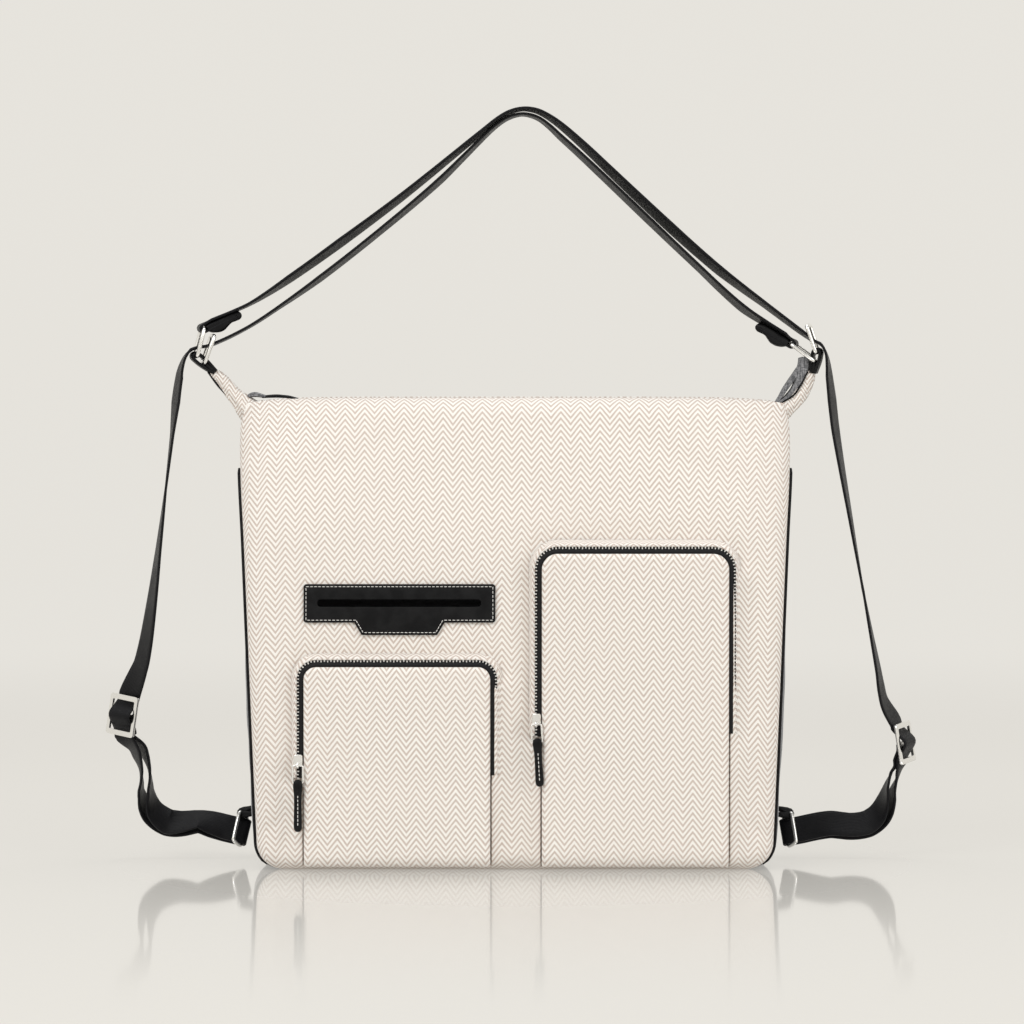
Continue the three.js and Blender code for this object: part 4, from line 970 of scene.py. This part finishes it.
def band_places(name, width, thickness):
    """The cross-sections of a node's band in order: its middle, its half width and its half thickness."""
    shape = bmesh.new()
    shape.from_mesh(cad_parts[name].data)
    bmesh.ops.remove_doubles(shape, verts=shape.verts, dist=SAME_PLACE)
    shape.verts.index_update()
    group = list(range(len(shape.verts)))

    def root(i):
        while group[i] != i:
            i = group[i]
        return i

    # Edges as long as the band is wide or thick join the corners of one cross-section
    close = 0.004
    for edge in shape.edges:
        length = edge.calc_length() / METRES
        if abs(length - width) < close or abs(length - thickness) < close:
            group[root(edge.verts[0].index)] = root(edge.verts[1].index)
    sections = {}
    for vert in shape.verts:
        sections.setdefault(root(vert.index), []).append(vert.co.copy() / METRES)
    neighbours = {key: set() for key in sections}
    for edge in shape.edges:
        a, b = root(edge.verts[0].index), root(edge.verts[1].index)
        if a != b:
            neighbours[a].add(b)
            neighbours[b].add(a)
    shape.free()
    key = min(k for k in sections if len(neighbours[k]) == 1)
    order = [key]
    while True:
        onward = [k for k in neighbours[order[-1]] if k not in order]
        if not onward:
            break
        order.append(onward[0])
    places = []
    wide = thick = None
    for key in order:
        corners = sections[key]
        first = corners[0]
        t, w = [(min(corners[1:], key=lambda c: abs((c - first).length - size)) - first) / 2
                for size in (thickness, width)]
        middle = sum(corners, Vector()) / len(corners)
        w = -w if wide is not None and w.dot(wide) < 0 else w
        t = -t if thick is not None and t.dot(thick) < 0 else t
        wide, thick = w, t
        places.append((middle, w, t))
    return places


def curved(a, b, c, d, t):
    """A point on the smooth curve from b to c."""
    t2, t3 = t * t, t * t * t
    return 0.5 * ((2 * b) + (c - a) * t + (2 * a - 5 * b + 4 * c - d) * t2 + (3 * b - a - 3 * c + d) * t3)


def path_point(a, b, c, d, t):
    """A point on the smooth path from b to c, whose bends fit the spans on both sides."""
    span = max((c - b).length, 0.001)
    leave = (c - a) * (span / (span + (b - a).length))
    arrive = (d - b) * (span / (span + (d - c).length))
    t2, t3 = t * t, t * t * t
    return (b * (2 * t3 - 3 * t2 + 1) + leave * (t3 - 2 * t2 + t)
            + c * (3 * t2 - 2 * t3) + arrive * (t3 - t2))


def band(name, places, materials, step=1.6, replaces=()):
    """A flat band with rounded edges along smooth places."""
    stations = []
    last = len(places) - 1
    for i in range(last):
        picked = [places[max(i - 1, 0)], places[i], places[i + 1], places[min(i + 2, last)]]
        count = max(int((picked[2][0] - picked[1][0]).length / step), 1)
        for k in range(count):
            t = k / count
            middle = path_point(*[p[0] for p in picked], t)
            stations.append((middle, picked[1][1].lerp(picked[2][1], t), picked[1][2].lerp(picked[2][2], t)))
    stations.append(places[-1])
    runs = [0.0]
    for a, b in zip(stations, stations[1:]):
        runs.append(runs[-1] + (b[0] - a[0]).length)
    section = []
    for side in (1, -1):
        for u in evenly(-0.94, 0.94, 6):
            section.append((u * side, side))
        section.append((0.99 * side, 0.55 * side))
        section.append((0.99 * side, -0.55 * side))
    width, thickness = places[0][1].length * 2, places[0][2].length * 2
    vertices = []
    cloth = []
    for i, (middle, wide, thick) in enumerate(stations):
        along = (stations[min(i + 1, len(stations) - 1)][0] - stations[max(i - 1, 0)][0]).normalized()
        wide = (wide - along * wide.dot(along)).normalized() * width / 2
        thick = (thick - along * thick.dot(along))
        thick = (thick - wide * thick.dot(wide) / wide.length_squared).normalized() * thickness / 2
        for u, t in section:
            vertices.append(middle + wide * u + thick * t)
            cloth.append((u * width / 2, runs[i]))
    faces = rod_faces(len(stations), len(section))
    make_piece(name, vertices, faces, materials, cloth, replaces=replaces)


# The leather sewn round a strap's end: distances from the ring's bar along the strap, and how far the
# leather lies above and below the bar there
TAB_ROWS = (
    (2.2, 1.0, -3.2), (4.5, 1.7, -5.2), (8.5, 1.7, -7.2), (12.5, 1.7, -7.6), (16.0, 1.7, -6.4),
    (19.5, 1.7, -5.2), (22.5, 1.6, -5.4), (25.5, 1.2, -5.6), (27.4, 0.2, -4.8), (28.2, -1.4, -3.4),
)
TAB_SIDES = 40
TAB_HALF_WIDTH = 9.3


def tab_leather(letter, places):
    """The thick leather tab that holds a strap's sewn end, wavy on its lower side."""
    if places[0][0].z < places[-1][0].z:
        places = places[::-1]
    bar = (places[2][0] + places[8][0]) / 2
    above = (places[8][0] - places[2][0]).normalized()
    towards = (places[0][0] - places[1][0]).normalized()
    wide = towards.cross(above).normalized()
    points = []
    for distance, high, low in smooth_rows(TAB_ROWS, 4):
        centre = bar + towards * distance + above * ((high + low) / 2)
        squeeze = 1 - 0.12 * max((distance - 20) / 8, 0) ** 2
        for angle in turns(TAB_SIDES):
            u, v = squarish(angle, 0.45)
            point = centre + wide * (u * TAB_HALF_WIDTH * squeeze) + above * (v * (high - low) / 2)
            points.append(point + above * ripple(point, 6, 0.5))
    faces = rod_faces(len(points) // TAB_SIDES, TAB_SIDES)
    make_piece(f"strap_{letter}_leather_tab", points, faces, [LEATHER],
               replaces=(f"strap_{letter}_tab",))


def ear_leather(side):
    """The leather loop round an ear's two rings, with its doubled core."""
    loop = band_places(f"{side}_ear_loop", LEATHER_BAND["width"], LEATHER_BAND["thickness"])
    band(f"{side}_ear_leather", loop, [LEATHER], step=0.8, replaces=(f"{side}_ear_loop",))
    (tip, wide, _), (near, _, thick) = loop[0], loop[1]
    other_tip, other_near = loop[-1][0], loop[-2][0]
    start, end = (tip + other_tip) / 2, (near + other_near) / 2
    across = (near - other_near).normalized() * thick.length * 1.15
    core = [(start.lerp(end, share), wide, across) for share in (0.0, 0.45, 0.85)]
    band(f"{side}_ear_core", core, [LEATHER], step=0.8)


def straps():
    for letter in ("a", "b"):
        places = band_places(f"strap_{letter}", WEBBING["width"], WEBBING["thickness"])
        band(f"strap_{letter}_webbing", places, [WEBBING_CLOTH],
             replaces=(f"strap_{letter}",))
        tab_leather(letter, places)
    for side in ("left", "right"):
        ear_leather(side)


# The gathered corners

EAR_TIPS = {"left": (-213.5, 348.0), "right": (210.7, 348.0)}

# Strips of cloth from the bag's corner to the ear's tip: how far in and down from the tip, then how
# wide the strip looks from the front and how deep it is from front to back
STRIPS = (
    {
        "name": "left_ear_cloth", "ear": "left", "finish": "herringbone", "pleats": 7,
        "rows": (
            (0.5, 0.6, 5.4, 15.0), (2.0, 2.6, 8.0, 16.5), (5.8, 6.4, 10.0, 18.0),
            (10.2, 11.0, 10.6, 19.5), (15.4, 17.2, 11.6, 21.0), (20.4, 22.4, 14.2, 22.5),
            (27.0, 29.5, 19.0, 23.0), (35.0, 37.0, 22.0, 22.0),
        ),
    },
    {
        "name": "left_ear_edging", "ear": "left", "finish": "leather", "pleats": 0,
        "rows": (
            (-2.8, 0.8, 1.8, 14.0), (0.4, 5.0, 1.9, 15.0), (4.0, 9.6, 2.2, 16.0), (7.6, 14.4, 1.6, 16.0),
            (10.8, 18.4, 0.8, 15.0),
        ),
    },
    {
        "name": "left_zip_end", "ear": "left", "finish": "heather", "pleats": 9,
        "rows": (
            (24.0, 19.6, 1.6, 8.0), (27.0, 17.8, 3.2, 9.0), (30.5, 17.2, 3.8, 9.0), (34.5, 17.8, 3.0, 9.0),
            (38.5, 18.8, 2.0, 8.0),
        ),
    },
    {
        "name": "left_zip_tape", "ear": "left", "finish": "tape", "pleats": 0,
        "rows": (
            (35.0, 19.0, 1.6, 7.0), (40.0, 18.4, 2.2, 8.0), (47.0, 18.3, 2.3, 8.0), (54.0, 18.9, 2.0, 8.0),
            (61.0, 20.6, 1.8, 8.0),
        ),
    },
    {
        "name": "right_ear_cloth", "ear": "right", "finish": "herringbone", "pleats": 7,
        "rows": (
            (1.2, 0.4, 5.0, 15.0), (2.2, 2.6, 6.4, 16.0), (4.0, 7.4, 8.8, 17.0),
            (7.8, 14.3, 10.8, 19.0), (13.2, 21.4, 11.4, 21.0), (20.4, 27.8, 13.0, 23.0),
            (28.0, 34.0, 17.0, 24.0), (36.0, 40.0, 20.0, 22.0),
        ),
    },
    {
        "name": "right_ear_edging", "ear": "right", "finish": "leather", "pleats": 0,
        "rows": (
            (4.2, 0.4, 1.4, 15.0), (8.0, 7.4, 1.8, 17.0), (10.4, 11.6, 2.0, 18.0), (14.2, 17.0, 2.0, 19.0),
            (20.0, 21.2, 1.8, 19.0), (25.0, 24.2, 1.2, 18.0),
        ),
    },
    {
        "name": "right_ear_lining", "ear": "right", "finish": "heather", "pleats": 5,
        "rows": (
            (7.4, -9.4, 8.0, 12.0), (7.2, -5.0, 8.8, 13.0), (7.6, -0.6, 9.2, 14.0),
            (9.8, 6.4, 7.8, 15.0), (13.0, 12.0, 6.0, 15.0), (17.4, 17.6, 4.4, 15.0),
            (22.0, 21.6, 3.8, 15.0), (27.0, 24.8, 3.2, 14.0),
        ),
    },
    {
        "name": "right_ear_fold", "ear": "right", "finish": "heather", "pleats": 5,
        "rows": (
            (9.4, -3.6, 3.0, 11.0), (13.4, 3.4, 4.6, 13.0), (18.4, 10.4, 4.2, 14.0), (22.6, 16.8, 3.4, 14.0),
            (26.4, 22.6, 3.0, 13.0), (29.0, 26.5, 2.6, 12.0),
        ),
    },
)


def smooth_rows(rows, steps):
    """The rows of a strip with smooth values between them."""
    found = []
    last = len(rows) - 1
    for i in range(last):
        picked = [Vector(rows[k]) for k in (max(i - 1, 0), i, i + 1, min(i + 2, last))]
        found += [curved(*picked, t) for t in evenly(0, 1, steps)[:-1]]
    return found + [Vector(rows[-1])]


def ear_strip(strip):
    """A strip drawn together out of the bag's corner, with soft pleats along it."""
    tip_x, tip_z = EAR_TIPS[strip["ear"]]
    side = math.copysign(1, tip_x)
    stations = smooth_rows(strip["rows"], 5)
    middles = [Vector((tip_x - side * inward, 0, tip_z - down)) for inward, down, _, _ in stations]
    sides = 56
    points = []
    cloth = []
    for i, (middle, (_, _, width, depth)) in enumerate(zip(middles, stations)):
        along = way_along(middles, i)
        across = Vector((-along.z, 0, along.x))
        rounding = 0.35 if i in (0, len(middles) - 1) else 1.0
        for angle in turns(sides):
            u, v = squarish(angle, 0.75)
            pleat = 1 - 0.11 * (0.5 + 0.5 * math.cos(angle * strip["pleats"] + 0.6 + i * 0.05))
            pleat = pleat if strip["pleats"] else 1.0
            reach = across * (u * width / 2 * pleat * rounding)
            point = middle + reach + Vector((0, v * depth / 2 * pleat * rounding, 0))
            points.append(point + across * ripple(point, 7, 0.35))
            cloth.append((point.x * 1.5, point.z * 1.35))
    faces = grid_faces(len(stations), sides, closed=True, flip=side > 0)
    ends = (tuple(range(sides)), tuple(reversed(range(len(points) - sides, len(points)))))
    faces += [end[::-1] for end in ends] if side > 0 else ends
    finishes = {"herringbone": (HERRINGBONE, "herringbone_cloth"), "heather": (HEATHER, "grey_heather_cloth"),
                "leather": (LEATHER, "black_leather"), "tape": (TAPE, "black_cloth")}
    material, slot = finishes[strip["finish"]]
    replaces = (strip["name"].replace("_cloth", ""),) if strip["finish"] == "herringbone" else ()
    make_piece(strip["name"], points, faces, [material], cloth, replaces=replaces)


# The mouth

def mouth_tape(name, facing):
    """A black zip tape just inside the mouth."""
    share = MOUTH_TAPE["share"]
    low, high = BODY_HEIGHT - MOUTH_ROLL - MOUTH_TAPE["width"], BODY_HEIGHT - MOUTH_ROLL - CLEARANCE
    columns, rows = 90, 6

    def tape_point(across, height):
        point = panel_point(facing, across, height)
        return Vector((point.x, point.y - facing * MOUTH_TAPE["inside"], point.z))

    across, heights = evenly(-share, share, columns - 1), evenly(low, high, rows - 1)
    points = [tape_point(a, height) for height in heights for a in across]
    piece = make_piece(name, points, grid_faces(rows, columns, flip=facing > 0), [TAPE],
                       replaces=(f"mouth_tape_{'front' if facing < 0 else 'back'}",), sheet=True)
    thicken(piece, MOUTH_TAPE["wall"])


# The metal and leather fittings

# A zip pull from its eye to its tip: share of its length, half width, half thickness
PULL_ROWS = (
    (0.0, 1.2, 1.0), (0.03, 2.6, 1.9), (0.09, 3.3, 2.3), (0.16, 3.3, 2.2), (0.28, 2.8, 1.5),
    (0.5, 2.65, 1.2), (0.8, 2.85, 1.2), (0.93, 2.8, 1.15), (0.98, 2.0, 0.95), (1.0, 0.9, 0.6),
)
PULL_SIDES = 28
PULL_END = 1.6


def pull_leather(pocket, body):
    """A zip pull of doubled leather with rounded ends and a row of white stitches."""
    corners = [vertex.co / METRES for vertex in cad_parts[f"{pocket}_pull"].data.vertices]
    low, high = min(c.z for c in corners), max(c.z for c in corners)

    def middle_near(z):
        near = [c for c in corners if abs(c.z - z) < PULL_END]
        low_corner = Vector([min(c[k] for c in near) for k in range(3)])
        high_corner = Vector([max(c[k] for c in near) for k in range(3)])
        return (low_corner + high_corner) / 2

    eye, tip = middle_near(high), middle_near(low)
    eye.z, tip.z = high, low
    eye.y = tip.y = (eye.y + tip.y) / 2
    along = (tip - eye).normalized()
    across = Vector((-along.z, 0, along.x))
    points = []
    for share, half_wide, half_thick in smooth_rows(PULL_ROWS, 4):
        centre = eye.lerp(tip, share)
        for angle in turns(PULL_SIDES):
            u, v = squarish(angle, 0.6)
            points.append(centre + across * (u * half_wide) + Vector((0, v * half_thick, 0)))
    faces = rod_faces(len(points) // PULL_SIDES, PULL_SIDES)
    make_piece(f"{pocket}_pull_leather", points, faces, [LEATHER], body=body,
               replaces=(f"{pocket}_pull",))
    run = [eye.lerp(tip, share) + Vector((0, -1.25, 0)) for share in evenly(0.3, 0.9, 12)]
    stitches(f"{pocket}_pull_stitches", [(run, Vector((0, -1, 0)))], 2.0, 0.9, 0.26, body)


def fittings():
    for side in ("left", "right"):
        for ring in ("tab_ring", "pass_ring", "lower_ring"):
            refined(f"{side}_{ring}", [NICKEL], subdivide=2, swell=0.3)
        refined(f"{side}_strap_slider", [NICKEL], bevel=0.5)
        refined(f"{side}_lower_loop", [LEATHER], subdivide=1, swell=1.1)
    for pocket in ("small", "tall"):
        body = f"{pocket}_zip_pull"
        refined(f"{pocket}_zip_slider", [NICKEL], bevel=0.3)
        refined(f"{pocket}_pull_ring", [NICKEL], subdivide=2, swell=0.09, body=body)
        pull_leather(pocket, body)
    refined("slot_patch", [LEATHER], bevel=0.5)


# The stage, in metres: how far its floor is flat, how gently it bends up and how high it stands
STAGE = {"flat": 4.8, "bend": 1.6, "top": 3.0}
# How much of the floor's tone takes shade, and how much of it mirrors, from near the bag to far away
SHADED = {"near": 0.9, "far": 2.4, "most": 0.36, "least": 0.04}
MIRRORS = {"near": 0.12, "far": 0.85, "most": 0.46, "least": 0.0}


def stage():
    """A pale round floor that curves up into a backdrop on every side."""
    material, tree, shader = new_material("floor")
    place = node(tree, "ShaderNodeSeparateXYZ", {"Vector": here(tree)})
    rise = between(tree, place.outputs["Z"], 0.0, 0.6)
    tone = mixed(tree, rise, colour(0.62, 0.602, 0.563), colour(0.90, 0.875, 0.82))
    matt = node(tree, "ShaderNodeBsdfDiffuse", {"Color": tone}).outputs[0]
    glow = node(tree, "ShaderNodeEmission", {"Color": colour(0.80, 0.777, 0.727)}).outputs[0]
    mirror = {"Color": colour(0.95, 0.95, 0.95), "Roughness": 0.06}
    gloss = node(tree, "ShaderNodeBsdfGlossy", mirror).outputs[0]
    reach = calc(tree, "SQRT", calc(tree, "ADD", calc(tree, "POWER", place.outputs["X"], 2.0),
                                    calc(tree, "POWER", place.outputs["Y"], 2.0)))
    shaded = between(tree, reach, SHADED["near"], SHADED["far"], SHADED["most"], SHADED["least"])
    even = node(tree, "ShaderNodeMixShader", {0: shaded, 1: glow, 2: matt}).outputs[0]
    sheen = between(tree, reach, MIRRORS["near"], MIRRORS["far"], MIRRORS["most"], MIRRORS["least"])
    both = node(tree, "ShaderNodeMixShader", {0: sheen, 1: even, 2: gloss}).outputs[0]
    tree.links.new(both, tree.nodes["Material Output"].inputs["Surface"])
    tree.nodes.remove(shader)
    profile = [(0.4, 0.0), (2.0, 0.0), (STAGE["flat"], 0.0)]
    profile += [(STAGE["flat"] + STAGE["bend"] * math.sin(a), STAGE["bend"] * (1 - math.cos(a)))
                for a in evenly(0, math.pi / 2, 20)[1:]]
    profile.append((STAGE["flat"] + STAGE["bend"], STAGE["top"]))
    sides = 96
    points = [(reach * math.cos(angle), reach * math.sin(angle), height)
              for reach, height in profile for angle in turns(sides)]
    faces = grid_faces(len(profile), sides, closed=True, flip=True)
    faces.append(tuple(range(sides)))
    mesh = bpy.data.meshes.new("floor")
    mesh.from_pydata(points, [], faces)
    mesh.materials.append(material)
    for polygon in mesh.polygons:
        polygon.use_smooth = True
    placed("floor", mesh)


def area_light(name, place, target, size, power):
    light = bpy.data.lights.new(name, "AREA")
    light.shape = "RECTANGLE"
    light.size, light.size_y = size
    light.energy = power
    lamp = placed(name, light)
    lamp.location = place
    lamp.rotation_euler = (Vector(target) - Vector(place)).to_track_quat("-Z", "Y").to_euler()


def lights():
    bpy.context.scene.view_settings.view_transform = "Standard"
    area_light("key", (-1.3, -1.9, 1.9), (0, 0, 0.2), (1.4, 1.4), 31)
    area_light("fill", (1.7, -1.6, 1.1), (0, 0, 0.2), (1.4, 1.8), 16)
    area_light("top", (0.0, 0.3, 2.4), (0, 0, 0.2), (2.0, 1.2), 22)
    world = bpy.data.worlds.new("studio")
    bpy.context.scene.world = world
    world.use_nodes = True
    background = world.node_tree.nodes["Background"]
    background.inputs["Color"].default_value = colour(0.93, 0.92, 0.90)
    background.inputs["Strength"].default_value = 0.66


# The photograph's frame: real size of a pixel at the bag, the picture's middle and the camera's place
PIXEL = 0.0007
PICTURE = 1024
MIDDLE = Vector((-0.0021, -0.03, 0.2492))
DISTANCE = 4.0
ELEVATION = 2.4


def camera():
    view = bpy.data.cameras.new("camera")
    view.sensor_width = 36.0
    view.lens = 36.0 * DISTANCE / (PIXEL * PICTURE)
    tilt = math.radians(ELEVATION)
    eye = MIDDLE + Vector((0, -math.cos(tilt), math.sin(tilt))) * DISTANCE
    holder = placed("camera", view)
    holder.location = eye
    holder.rotation_euler = (MIDDLE - eye).to_track_quat("-Z", "Y").to_euler()
    bpy.context.scene.camera = holder


camera()
stage()
lights()
cloth_walls()
pipings()
for pocket in POCKETS:
    pocket_cloth(pocket)
    zip_tape(pocket)
    pocket_side(pocket)
    zip_teeth(pocket)
for strip in STRIPS:
    ear_strip(strip)
mouth_tape("front_mouth_tape", -1)
mouth_tape("back_mouth_tape", 1)
straps()
fittings()
patch_stitches()
